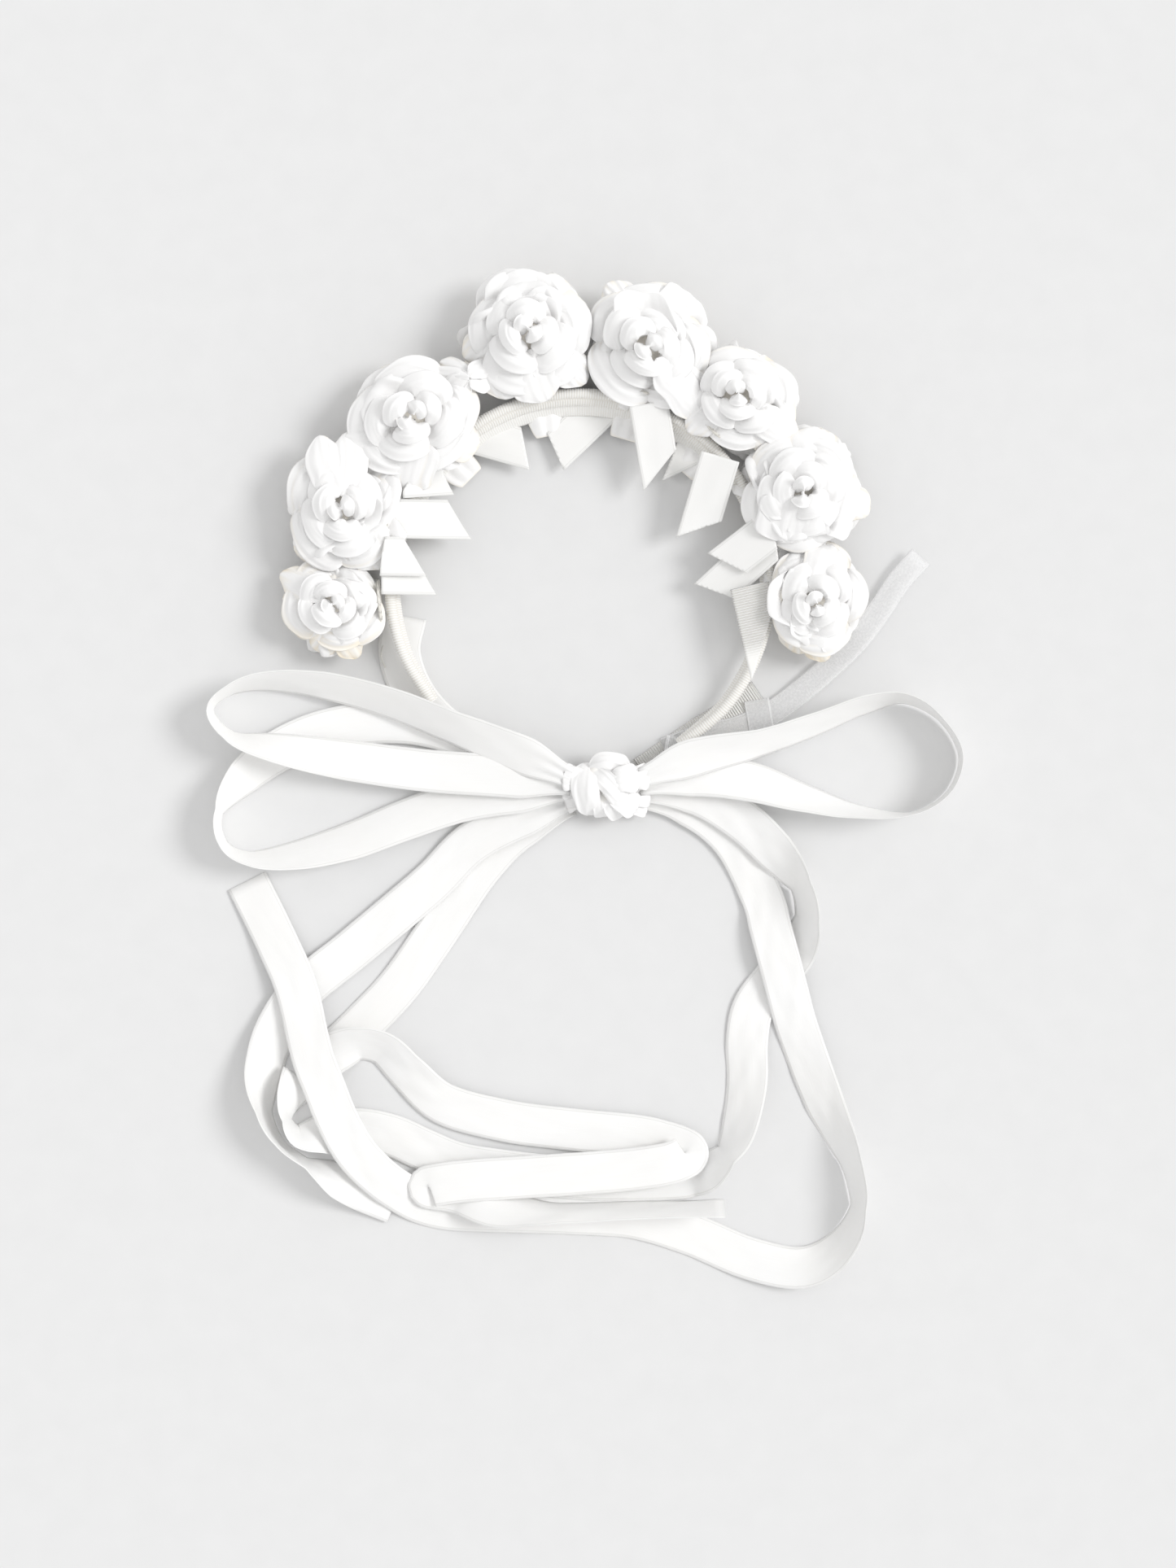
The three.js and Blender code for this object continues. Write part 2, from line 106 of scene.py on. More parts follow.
def add_object(name, mesh, material, replaced=(), smooth_faces=True):
    obj = bpy.data.objects.new(name, mesh)
    bpy.context.scene.collection.objects.link(obj)
    mesh.materials.append(material)
    if smooth_faces:
        mesh.polygons.foreach_set("use_smooth", [True] * len(mesh.polygons))
    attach(obj, "root")
    if replaced:
        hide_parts(*replaced)
    return obj


def thicken(obj, thick, levels=0):
    solid = obj.modifiers.new("thickness", "SOLIDIFY")
    solid.thickness = thick
    solid.offset = 0
    if levels:
        smooth_out(obj, levels)


def smooth_out(obj, levels):
    smoother = obj.modifiers.new("smooth", "SUBSURF")
    smoother.levels = levels
    smoother.render_levels = levels


# The faces of a grid of points, the first of which is point number first
def grid_faces(rows, columns, first=0, closed=False):
    faces = []
    for i in range(rows - 1):
        low = first + i * columns
        high = low + columns
        for j in range(columns if closed else columns - 1):
            k = (j + 1) % columns
            faces.append((low + j, low + k, high + k, high + j))
    return faces


# places: where each point lies on the cloth, in metres. The last argument is painted shade: how far each
# point stands out of the folds, from 0, shaded, to 1, lit, for the materials that take their colour from it.
def new_mesh(name, vertices, faces, places=None, painted_shades=None):
    mesh = bpy.data.meshes.new(name)
    mesh.from_pydata(vertices, [], faces)
    if places:
        layer = mesh.uv_layers.new(name="UVMap")
        for loop, corner in zip(mesh.loops, layer.data):
            corner.uv = places[loop.vertex_index]
    if painted_shades:
        layer = mesh.attributes.new("painted_shade", "FLOAT", "POINT")
        layer.data.foreach_set("value", painted_shades)
    return mesh


# A grid as a mesh. rows[i][j] is a point, and uv(i, j) its place on the cloth.
def grid_mesh(name, rows, uv, closed=False, painted_shades=None):
    columns = len(rows[0])
    vertices = [point for row in rows for point in row]
    places = [uv(i, j) for i in range(len(rows)) for j in range(columns)]
    return new_mesh(name, vertices, grid_faces(len(rows), columns, closed=closed), places, painted_shades)


# A grid as a mesh, from at(i, j), which gives a point and its painted shade
def surface(name, rows, columns, at, uv, closed=False):
    made = [[at(i, j) for j in range(columns)] for i in range(rows)]
    points = [[point for point, painted_shade in row] for row in made]
    painted_shades = [painted_shade for row in made for point, painted_shade in row]
    return grid_mesh(name, points, uv, closed, painted_shades)


# Several grids, each as (rows, painted shade, places), as one mesh that stays off the table
def join_grids(name, grids, placing=Matrix.Identity(4)):
    vertices, faces, painted_shades, places = [], [], [], []
    for rows, painted_shade, place in grids:
        faces += grid_faces(len(rows), len(rows[0]), len(vertices))
        vertices += [placing @ point for row in rows for point in row]
        painted_shades += painted_shade
        places += place
    for point in vertices:
        point.z = max(point.z, PETAL_FLOOR)
    return new_mesh(name, vertices, faces, places, painted_shades)


# Round tubes along lines of points, as one mesh
def tubes_mesh(name, lines, radius, sides):
    vertices, faces = [], []
    for points in lines:
        faces += grid_faces(len(points), sides, len(vertices), closed=True)
        for i, point in enumerate(points):
            tangent = (points[min(i + 1, len(points) - 1)] - points[max(i - 1, 0)]).normalized()
            side = tangent.orthogonal().normalized()
            other = tangent.cross(side)
            for k in range(sides):
                a = 2 * math.pi * k / sides
                vertices.append(point + radius * (side * math.cos(a) + other * math.sin(a)))
    return new_mesh(name, vertices, faces)


# ---- routes of the ribbons ----

# The same routes as in part.mjs, in mm: (x, y, z, roll in degrees). At a roll of 0 the ribbon lies
# flat and at 90 it stands on edge.
BOW_ROUTES = {
    "loop_upper_left": [
        [-3, -107, 16, 8], [-27, -96, 15, 25], [-57, -84, 14, 40], [-88, -72, 13, 45],
        [-119, -64, 12.5, 50], [-146, -62, 12, 65], [-163, -66, 11.5, 80], [-172, -75, 11.5, 88],
        [-163, -87, 13, 78], [-142, -93, 14, 48], [-107, -99, 9.5, 18], [-69, -104, 9, 5],
        [-27, -107, 11.5, 0], [-3, -111, 13.5, 0],
    ],
    "loop_lower_left": [
        [-4, -110, 11, 0], [-32, -98, 6, 0], [-65, -84, 3, 0], [-92, -81, 2.5, 5],
        [-119, -85, 2.5, 6], [-140, -94, 2.6, 8], [-157, -107, 7, 38], [-168, -123, 10.5, 85],
        [-166, -138, 10.5, 85], [-154, -145, 10, 72], [-134, -144, 8, 48], [-107, -137, 6, 28],
        [-81, -127, 5.5, 15], [-54, -118, 6, 6], [-27, -114, 8, 0], [-3, -113, 8.5, 0],
    ],
    "loop_right": [
        [30, -107, 15, -5], [54, -98, 16, -25], [85, -91, 14, -50], [112, -82, 13, -58],
        [135, -73, 12.5, -65], [154, -70, 12, -78], [171, -80, 11.5, -88], [180, -97, 11, -90],
        [174, -114, 11, -90], [157, -124, 11, -88], [131, -123, 10.5, -70], [104, -116, 10, -45],
        [81, -109, 9.5, -20], [54, -106, 10, -5], [29, -111, 11.5, 0],
    ],
    "tail_inner_right": [
        [29, -114, 7, 0], [54, -114, 5, 0], [76, -126, 5, 0], [93, -142, 7.5, -20],
        [105, -158, 10, -62], [108, -174, 9, -58], [103, -189, 3, -14], [93, -202, 1.2, 0],
        [83, -216, 1.2, 0], [80, -232, 2, -8], [80, -251, 4, -20], [76, -273, 7, -40],
        [70, -284, 9, -62], [62, -292, 6, -32], [54, -295, 2, -6], [44, -296.5, 1.6, 0],
        [12, -297, 1.6, 0], [-15, -295, 1.6, 0], [-40, -292, 1.6, 0], [-57, -289, 1, 0],
        [-72, -283, 0.8, 0], [-88, -276, 0.8, 0], [-105, -273, 1.8, -6], [-119, -275, 4.4, -20],
        [-130, -276, 10, -68], [-136, -268, 10.5, -84], [-135, -258, 8.5, -52], [-130, -248, 4, -14],
    ],
    "tail_outer_right": [
        [29, -117, 4, 0], [52, -120, 2.5, 0], [73, -136, 2, 0], [87, -163, 2, 0],
        [91, -178, 6, 0], [95, -193, 7, 0], [99, -208, 5, 0], [104, -226, 2, -4],
        [116, -259, 4.4, -22], [128, -286, 9, -60], [132, -309, 10.3, -75], [123, -328, 8, -48],
        [106, -338, 4, -18], [81, -334, 1.2, -3], [54, -323, 0.6, 0], [27, -315, 0.6, 0],
        [-4, -313, 0.6, 0], [-34, -312, 0.6, 0], [-60, -311, 0.6, 0], [-73, -308, 1, 0],
        [-84, -302, 4, 5], [-94, -294, 7.5, 4], [-104, -283, 9.8, 0], [-112, -269, 9.8, 0],
        [-119, -252, 9, 0], [-125, -236, 8.5, 0], [-132, -207, 6, 0], [-141, -186, 3.5, 0],
        [-156, -156, 0.8, 0],
    ],
    "tail_outer_left": [
        [-2, -118, 6, 0], [-27, -126, 4, 0], [-50, -138, 2.6, 0], [-67, -155, 1.9, 0],
        [-82, -168, 1.9, 0], [-107, -189, 2, 3], [-129, -207, 2.6, 6], [-142, -226, 3, 10],
        [-148, -247, 6, 32], [-147, -264, 9.8, 72], [-140, -278, 10.5, 85], [-127, -288, 10.5, 85],
        [-113, -296, 7, 42], [-100, -302, 3, 12], [-86, -308, 1.4, 0],
    ],
    "tail_inner_left": [
        [-2, -120, 3.5, 0], [-27, -131, 2, 0], [-46, -150, 1, 0], [-65, -178, 0.8, 0],
        [-84, -205, 0.8, 0], [-104, -226, 0.8, 0], [-116, -237.5, 1, 0], [-120.5, -241.5, 1.4, 0],
        [-122, -243, 2.8, 0], [-120.5, -241.5, 4.2, 0], [-113, -236, 4.6, -8], [-103, -232.5, 6, -33],
        [-91, -235, 6, -33], [-79, -247, 4.2, -20], [-63, -261, 2.6, -5], [-34, -269, 2.2, 0],
        [-4, -273, 2.2, 0], [27, -276, 2.2, 0], [41, -279, 2.2, 0], [50, -282, 2.6, 0],
        [52, -284, 4.6, 0], [50, -286, 6.8, 0], [41, -289, 7.4, 0], [19, -292, 6.8, 0],
        [-23, -295, 6.5, 0], [-52, -297, 6.2, 0], [-67, -299, 5.8, 0], [-70, -300, 4.6, 0],
        [-67, -301, 3.2, 0], [-55, -303, 3.4, 5], [-40, -309, 7.6, 30], [-25, -311, 10, 52],
        [-8, -311.5, 11.9, 70], [35, -309.5, 11.9, 72], [69, -309, 11.9, 72],
    ],
    "strap_left": [
        [-81, -31, 0.6, 0], [-84, -47, 0.6, 0], [-79, -64, 0.6, 0], [-67, -80, 0.6, 0],
        [-46, -95, 0.6, 0], [-23, -105, 0.6, 0], [-3, -111, 1, 0],
    ],
    "strap_right": [
        [88, -70, 0.6, 0], [73, -80, 0.6, 0], [58, -89, 0.6, 0], [45, -98, 0.6, 0],
        [32, -107, 1.4, 0],
    ],
}
ORGANZA_ROUTE = [
    [162, -3, 5, 0], [152, -14, 4, 0], [144, -26, 3, 0], [133, -41, 3, 0], [121, -53, 3, 0],
    [106, -66, 3, 0], [91, -77, 2, 0], [75, -84, 1.3, 0], [60, -87, 1.3, 0], [41, -94, 1.3, 0],
]
SATIN_WIDTH = 0.020
SATIN_THICK = 0.0004
ORGANZA_WIDTH = 0.0115
ORGANZA_THICK = 0.00025


def in_metres(route):
    return [(x / 1000, y / 1000, z / 1000, roll) for x, y, z, roll in route]


def spline(a, b, c, d, t):
    return (2 * b + (c - a) * t + (2 * a - 5 * b + 4 * c - d) * t * t + (3 * b - a - 3 * c + d) * t ** 3) / 2


def spline_slope(a, b, c, d, t):
    return ((c - a) + 2 * (2 * a - 5 * b + 4 * c - d) * t + 3 * (3 * b - a - 3 * c + d) * t * t) / 2


# Cross-section places along a route: (point, across, normal, metres from the start)
def follow(route, per_span):
    points = [Vector(p[:3]) for p in route]
    points = [2 * points[0] - points[1]] + points + [2 * points[-1] - points[-2]]
    places = []
    last_side = None
    run = 0.0
    for k in range((len(route) - 1) * per_span + 1):
        span = min(k // per_span, len(route) - 2)
        t = k / per_span - span
        four = points[span:span + 4]
        point = spline(*four, t)
        tangent = spline_slope(*four, t).normalized()
        side = tangent.cross(UP)
        steep = side.length < 0.35
        side.normalize()
        if last_side and steep:
            side = last_side.copy()
        if last_side and side.dot(last_side) < 0:
            side.negate()
        side = (side - tangent * side.dot(tangent)).normalized()
        last_side = side.copy()
        lift = side.cross(tangent)
        roll = math.radians(lerp(route[span][3], route[span + 1][3], t))
        across = side * math.cos(roll) + lift * math.sin(roll)
        normal = tangent.cross(across)
        if places:
            run += (point - places[-1][0]).length
        places.append((point, across, normal, run))
    return places


# ---- materials ----


def new_material(name):
    material = bpy.data.materials.new(name)
    material.use_nodes = True
    tree = material.node_tree
    return material, tree, tree.nodes["Principled BSDF"]


def node(tree, kind, **settings):
    made = tree.nodes.new(kind)
    for key, value in settings.items():
        if key.startswith("in_"):
            made.inputs[key[3:].replace("_", " ")].default_value = value
        else:
            setattr(made, key, value)
    return made


def maths(tree, operation, a, b=None, clamp=False):
    made = tree.nodes.new("ShaderNodeMath")
    made.operation = operation
    made.use_clamp = clamp
    for socket, value in zip(made.inputs, (a, b)):
        if value is None:
            continue
        if isinstance(value, (int, float)):
            socket.default_value = value
        else:
            tree.links.new(value, socket)
    return made.outputs[0]


def ramp(tree, factor, stops):
    made = tree.nodes.new("ShaderNodeValToRGB")
    tree.links.new(factor, made.inputs["Fac"])
    elements = made.color_ramp.elements
    while len(elements) < len(stops):
        elements.new(0.5)
    for element, (place, colour) in zip(elements, stops):
        element.position = place
        element.color = (*colour, 1)
    return made.outputs["Color"]


# The sum of some outputs, each times its weight
def weighted(tree, *terms):
    total = None
    for value, weight in terms:
        part = value if weight == 1 else maths(tree, "MULTIPLY", value, weight)
        total = part if total is None else maths(tree, "ADD", total, part)
    return total


def wave(tree, value, pitch):
    return maths(tree, "SINE", maths(tree, "MULTIPLY", value, 2 * math.pi / pitch))


# Threads, fuzz or blotches: a noise along a vector, which stretch scales along each axis
def fibres(tree, vector, scale, detail, stretch=None):
    if stretch:
        mapping = node(tree, "ShaderNodeMapping", in_Scale=stretch)
        tree.links.new(vector, mapping.inputs["Vector"])
        vector = mapping.outputs[0]
    made = node(tree, "ShaderNodeTexNoise", in_Scale=scale, in_Detail=detail)
    if vector is not None:
        tree.links.new(vector, made.inputs["Vector"])
    return made.outputs["Fac"]


# Places on the cloth in metres: both together, along the ribbon, and across it from one edge
def on_cloth(tree):
    uv = node(tree, "ShaderNodeUVMap").outputs["UV"]
    split = node(tree, "ShaderNodeSeparateXYZ")
    tree.links.new(uv, split.inputs[0])
    return uv, split.outputs["X"], split.outputs["Y"]


def in_space(tree):
    return node(tree, "ShaderNodeTexCoord").outputs["Object"]


# The painted shade that each point of the mesh carries, from 0, dark in the folds, to 1, lit
def painted_shade_of(tree):
    return node(tree, "ShaderNodeAttribute", attribute_name="painted_shade").outputs["Fac"]


# How far a place is from the nearer edge of a ribbon, and whether it is within a border there
def edge_of(tree, across, width, border):
    from_edge = maths(tree, "MINIMUM", across, maths(tree, "SUBTRACT", width, across))
    return from_edge, maths(tree, "LESS_THAN", from_edge, border)


# Links the shader's colour, bump and other inputs, each of which is a number or an output
def dress(tree, shader, colour, bump=None, **inputs):
    inputs["Base_Color"] = colour
    if bump:
        height, strength, distance = bump
        made = node(tree, "ShaderNodeBump", in_Strength=strength, in_Distance=distance)
        tree.links.new(height, made.inputs["Height"])
        inputs["Normal"] = made.outputs[0]
    for key, value in inputs.items():
        socket = shader.inputs[key.replace("_", " ")]
        if isinstance(value, (int, float)):
            socket.default_value = value
        else:
            tree.links.new(value, socket)


SELVEDGE = 0.0012              # width of a satin ribbon's firm edge
SELVEDGE_LINE = 0.00022        # half the width of the line of thread inside it
WEAVE_PITCH = 0.00042
ORGANZA_EDGE = 0.0008
RIB_PITCH = 0.0012
RIBS_END_OVER = 0.008          # length over which the ribs of a ribbed ribbon fade out


def satin_material(name, warm, cool, rough):
    material, tree, shader = new_material(name)
    uv, along, across = on_cloth(tree)
    slubs = fibres(tree, uv, 1.0, 3.0, (60, 1600, 1))
    blotches = fibres(tree, in_space(tree), 30.0, 2.0)
    from_edge, edge = edge_of(tree, across, SATIN_WIDTH, SELVEDGE)
    line = maths(tree, "COMPARE", from_edge, SELVEDGE)
    line.node.inputs[2].default_value = SELVEDGE_LINE
    shade = weighted(tree, (slubs, 0.45), (blotches, 0.55), (line, -0.6))
    dark = tuple(0.9 * c for c in warm)
    colour = ramp(tree, shade, [(0.0, dark), (0.3, warm), (0.7, cool)])
    ribs = maths(tree, "MULTIPLY", wave(tree, along, 0.0006), edge)
    threads = wave(tree, across, 0.00028)
    height = weighted(tree, (threads, 0.18), (slubs, 0.6), (ribs, 0.5), (line, -1.2))
    roughness = maths(tree, "ADD", weighted(tree, (slubs, 0.12), (edge, 0.14)), rough - 0.06)
    dress(tree, shader, colour, (height, 0.35, 0.00012), Roughness=roughness, Sheen_Weight=0.12,
          Sheen_Roughness=0.35, Anisotropic=0.35)
    return material


# Ribbed ribbon. Its ribs fade out past the run given, in metres.
def ribbed_material(name, fade):
    material, tree, shader = new_material(name)
    along = on_cloth(tree)[1]
    kept = maths(tree, "MULTIPLY", maths(tree, "SUBTRACT", fade, along), 1 / RIBS_END_OVER, clamp=True)
    ribs = maths(tree, "MULTIPLY", wave(tree, along, RIB_PITCH), kept)
    # Painted shade: the colour is darker in the grooves between the ribs and lighter on their crests
    shade = maths(tree, "ADD", maths(tree, "MULTIPLY", ribs, 0.45), 0.55)
    colour = ramp(tree, shade, [(0.1, (0.84, 0.82, 0.77)), (0.6, (0.95, 0.945, 0.925))])
    dress(tree, shader, colour, (ribs, 0.9, 0.0003), Roughness=0.6, Sheen_Weight=0.2)
    return material


def organza_material():
    material, tree, shader = new_material("organza")
    uv, along, across = on_cloth(tree)
    warp, weft = [maths(tree, "ABSOLUTE", wave(tree, way, 2 * WEAVE_PITCH)) for way in (across, along)]
    weave = maths(tree, "MAXIMUM", warp, weft)
    fuzz = fibres(tree, uv, 900.0, 2.0)
    edge = edge_of(tree, across, ORGANZA_WIDTH, ORGANZA_EDGE)[1]
    cloth = maths(tree, "SUBTRACT", weighted(tree, (weave, 0.45), (fuzz, 0.35)), 0.08)
    alpha = maths(tree, "ADD", cloth, maths(tree, "MULTIPLY", edge, 0.3), clamp=True)
    colour = ramp(tree, fuzz, [(0.3, (0.98, 0.98, 0.985)), (0.7, (1.0, 1.0, 1.0))])
    dress(tree, shader, colour, (weave, 0.6, 0.0001), Alpha=alpha, Roughness=0.45, Sheen_Weight=0.5)
    return material


def grosgrain_material():
    material, tree, shader = new_material("grosgrain")
    uv = on_cloth(tree)[0]
    threads = fibres(tree, uv, 1.0, 3.0, (900, 5000, 1))
    # Painted shade: the colour darkens in the grooves between the ribs and along the seam, as the mesh gives
    # it, mixed with the real tone of the threads
    shade = weighted(tree, (painted_shade_of(tree), 0.75), (threads, 0.25))
    colour = ramp(tree, shade, [(0.15, (0.83, 0.80, 0.74)), (0.75, (0.965, 0.96, 0.94))])
    dress(tree, shader, colour, (threads, 0.5, 0.0001), Roughness=0.72, Sheen_Weight=0.25)
    return material


def petal_material():
    material, tree, shader = new_material("satin_petal")
    uv = on_cloth(tree)[0]
    slubs = fibres(tree, uv, 1.0, 3.0, (1400, 70, 1))
    creases = fibres(tree, uv, 1.0, 2.0, (260, 90, 1))
    # Painted shade: low in the folds the colour turns warm cream and tan, standing in for shade and warm
    # light thrown between the petals; the slubs are the cloth's own tone
    shade = weighted(tree, (painted_shade_of(tree), 1), (slubs, 0.12))
    stops = [(0.12, (0.94, 0.85, 0.70)), (0.40, (0.985, 0.945, 0.87)), (0.68, (0.99, 0.985, 0.98))]
    height = weighted(tree, (slubs, 0.25), (creases, 1))
    roughness = maths(tree, "ADD", maths(tree, "MULTIPLY", slubs, 0.12), 0.33)
    dress(tree, shader, ramp(tree, shade, stops), (height, 0.3, 0.0006), Roughness=roughness,
          Sheen_Weight=0.1, Sheen_Roughness=0.35, Anisotropic=0.3)
    return material


def felt_material():
    material, tree, shader = new_material("felt")
    place = in_space(tree)
    fuzz = fibres(tree, place, 1800.0, 4.0)
    shade = weighted(tree, (fuzz, 0.5), (fibres(tree, place, 160.0, 2.0), 0.5))
    colour = ramp(tree, shade, [(0.3, (0.80, 0.77, 0.70)), (0.7, (0.88, 0.865, 0.82))])
    dress(tree, shader, colour, (fuzz, 0.8, 0.0002), Roughness=0.95, Sheen_Weight=0.4)
    return material


def thread_material():
    material, tree, shader = new_material("thread")
    hairs = fibres(tree, in_space(tree), 2500.0, 3.0)
    colour = ramp(tree, hairs, [(0.3, (0.84, 0.82, 0.77)), (0.7, (0.91, 0.90, 0.87))])
    dress(tree, shader, colour, (hairs, 0.7, 0.0001), Roughness=0.6, Sheen_Weight=0.2)
    return material


def core_material():
    material, tree, shader = new_material("core_strip")
    grain = fibres(tree, in_space(tree), 700.0, 2.0)
    colour = ramp(tree, grain, [(0.3, (0.70, 0.69, 0.65)), (0.7, (0.76, 0.75, 0.71))])
    dress(tree, shader, colour, Roughness=0.5)
    return material


SATIN = satin_material("satin_ribbon", (0.955, 0.948, 0.93), (0.975, 0.974, 0.97), 0.4)
# Painted shade: the cut ends get a darker copy of the ribbon satin, standing in for the shadow of the table
# seen through the thin cloth
SHADED_END_SATIN = satin_material("satin_end_shaded", (0.93, 0.925, 0.905), (0.955, 0.952, 0.94), 0.42)
RIBBED_SATIN = ribbed_material("ribbed_satin", 0.034)
RIBBED_CORD = ribbed_material("ribbed_cord", 1.0)
ORGANZA = organza_material()
GROSGRAIN = grosgrain_material()
PETAL = petal_material()
FELT = felt_material()
THREAD = thread_material()

# ---- ribbons of the bow ----

RIBBON_COLUMNS = 12
RIBBON_PER_SPAN = 7
FLOOR_CLEARANCE = 0.00015


# Slow buckles and small creases of limp ribbon, in metres along its normal
def ribbon_ripple(run, place, offset, amount):
    slow = noise.noise(Vector((run * 26 + offset, place * 0.7, offset)))
    fine = noise.noise(Vector((run * 95 + place * 2.2, place * 2.1 + offset, 3.7)))
    diagonal = noise.noise(Vector((run * 60 - place * 1.6, offset * 1.7, 9.1)))
    return amount * (0.5 * slow + 0.22 * fine + 0.35 * diagonal)


PINCH_LENGTH = 0.026           # length over which a ribbon gathers into the knot
PINCH = 0.52                   # share of its width it loses there
PLEAT = 0.0008                 # height of the pleats it gathers in
RIPPLE_EASE = 0.012            # length over which the ripple starts at each end


# A closed strip: an upper and a lower face with thinner edges, and its ends cut square. pinched
# says which ends are gathered into the knot, as (start, end).
def ribbon_mesh(name, places, width, thick, offset, amount, columns=RIBBON_COLUMNS, pinched=(0, 0)):
    rows = []
    total = places[-1][3]
    for point, across, normal, run in places:
        upper, lower = [], []
        ease = smooth(min(run, total - run) / RIPPLE_EASE)
        gather = max(pinched[0] * (1 - smooth(run / PINCH_LENGTH)),
                     pinched[1] * (1 - smooth((total - run) / PINCH_LENGTH)))
        for j in range(columns + 1):
            share = j / columns
            place = 2 * share - 1
            ripple = ribbon_ripple(run, place, offset, amount) * ease
            pleat = PLEAT * gather * math.sin(8 * place + offset)
            from_middle = place * width / 2 * (1 - PINCH * gather)
            middle = point + across * from_middle + normal * (ripple + pleat)
            half = thick / 2 * (1.0 if 0 < j < columns else 0.45)
            upper.append(middle + normal * half)
            lower.append(middle - normal * half)
        row = upper + lower[::-1]
        for p in row:
            p.z = max(p.z, FLOOR_CLEARANCE)
        rows.append(row)
    count = 2 * (columns + 1)

    def uv(i, j):
        j = j if j <= columns else count - 1 - j
        return (places[i][3], j / columns * width)

    mesh = grid_mesh(name, rows, uv, closed=True)
    work = bmesh.new()
    work.from_mesh(mesh)
    work.verts.ensure_lookup_table()
    for first in (0, (len(rows) - 1) * count):
        for j in range(columns):
            a, b = first + j, first + j + 1
            c, d = first + count - 2 - j, first + count - 1 - j
            work.faces.new([work.verts[k] for k in (a, b, c, d)])
    bmesh.ops.recalc_face_normals(work, faces=work.faces)
    work.to_mesh(mesh)
    work.free()
    return mesh


def dense_path(route, per_span=4):
    return [tuple(place[0]) for place in follow(route, per_span)]


RIPPLE = 0.0013


def add_ribbons():
    for k, (name, route_in_mm) in enumerate(BOW_ROUTES.items()):
        route = in_metres(route_in_mm)
        places = follow(route, RIBBON_PER_SPAN)
        amount = RIPPLE if name.startswith("tail") else 0.5 * RIPPLE
        pinched = (not name.startswith("strap"), name.startswith("loop"))
        mesh = ribbon_mesh(name + "_ribbon", places, SATIN_WIDTH, SATIN_THICK, 5.3 * k, amount,
                           pinched=pinched)
        cloth = RIBBED_CORD if name == "strap_right" else SATIN
        ribbon = add_object(name + "_ribbon", mesh, cloth, [name])
        if name == "strap_right":
            continue
        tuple(route[0][:3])
        dense_path(route)


def add_organza():
    route = in_metres(ORGANZA_ROUTE)
    places = follow(route, RIBBON_PER_SPAN)
    mesh = ribbon_mesh("organza_strip", places, ORGANZA_WIDTH, ORGANZA_THICK, 2.2, 0.0008, 8)
    strip = add_object("organza_strip", mesh, ORGANZA, ["organza_ribbon"])
    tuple(route[-1][:3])
    dense_path(route)[::-1]


add_ribbons()
add_organza()

# ---- band ----

RING_CENTRE = (0.0014, -0.0168)
RING_RADIUS = 0.088
BAND_START, BAND_END = -58.0, 218.0
BAND_WIDTH, BAND_THICK = 0.0094, 0.0052
BAND_TILT_BACK, BAND_TILT_ENDS = 46.0, 74.0
BAND_Z_BACK, BAND_Z_ENDS = 0.013, 0.0074
BAND_COLUMNS = 40
BAND_PER_SPAN = 88
GROSGRAIN_WIDTH = 0.025        # of the ribbon that is rolled round the band
RIB_HEIGHT = 0.00032
RIB_SAMPLES = 4
SEAM_AT = 0.16                 # the seam's distance from the middle of the face, in half widths
SEAM_WIDTH = 0.07
SEAM_DEPTH = 0.0007


def ring_point(radius, degrees, z=0.0):
    angle = math.radians(degrees)
    return Vector((RING_CENTRE[0] + radius * math.cos(angle), RING_CENTRE[1] + radius * math.sin(angle), z))


def band_route():
    route = []
    for i in range(17):
        share = i / 16
        back = math.sin(math.pi * share) ** 0.5 if 0 < share < 1 else 0.0
        p = ring_point(RING_RADIUS, lerp(BAND_START, BAND_END, share), lerp(BAND_Z_ENDS, BAND_Z_BACK, back))
        route.append((*p, lerp(BAND_TILT_ENDS, BAND_TILT_BACK, back)))
    return route


# Points round a strip with round edges, as (x, y) and the (x, y) of the way out
def band_section():
    radius = BAND_THICK / 2
    half = BAND_WIDTH / 2 - radius
    flat = 2 * half
    bend = math.pi * radius
    points = []
    for j in range(BAND_COLUMNS):
        d = j / BAND_COLUMNS * 2 * (flat + bend)
        side = 1 if d < flat + bend else -1
        d -= 0 if side > 0 else flat + bend
        a = (d - flat) / radius - math.pi / 2
        around = (half + radius * math.cos(a), radius * math.sin(a), math.cos(a), math.sin(a))
        spot = (d - half, -radius, 0, -1) if d < flat else around
        points.append([side * value for value in spot])
    return points


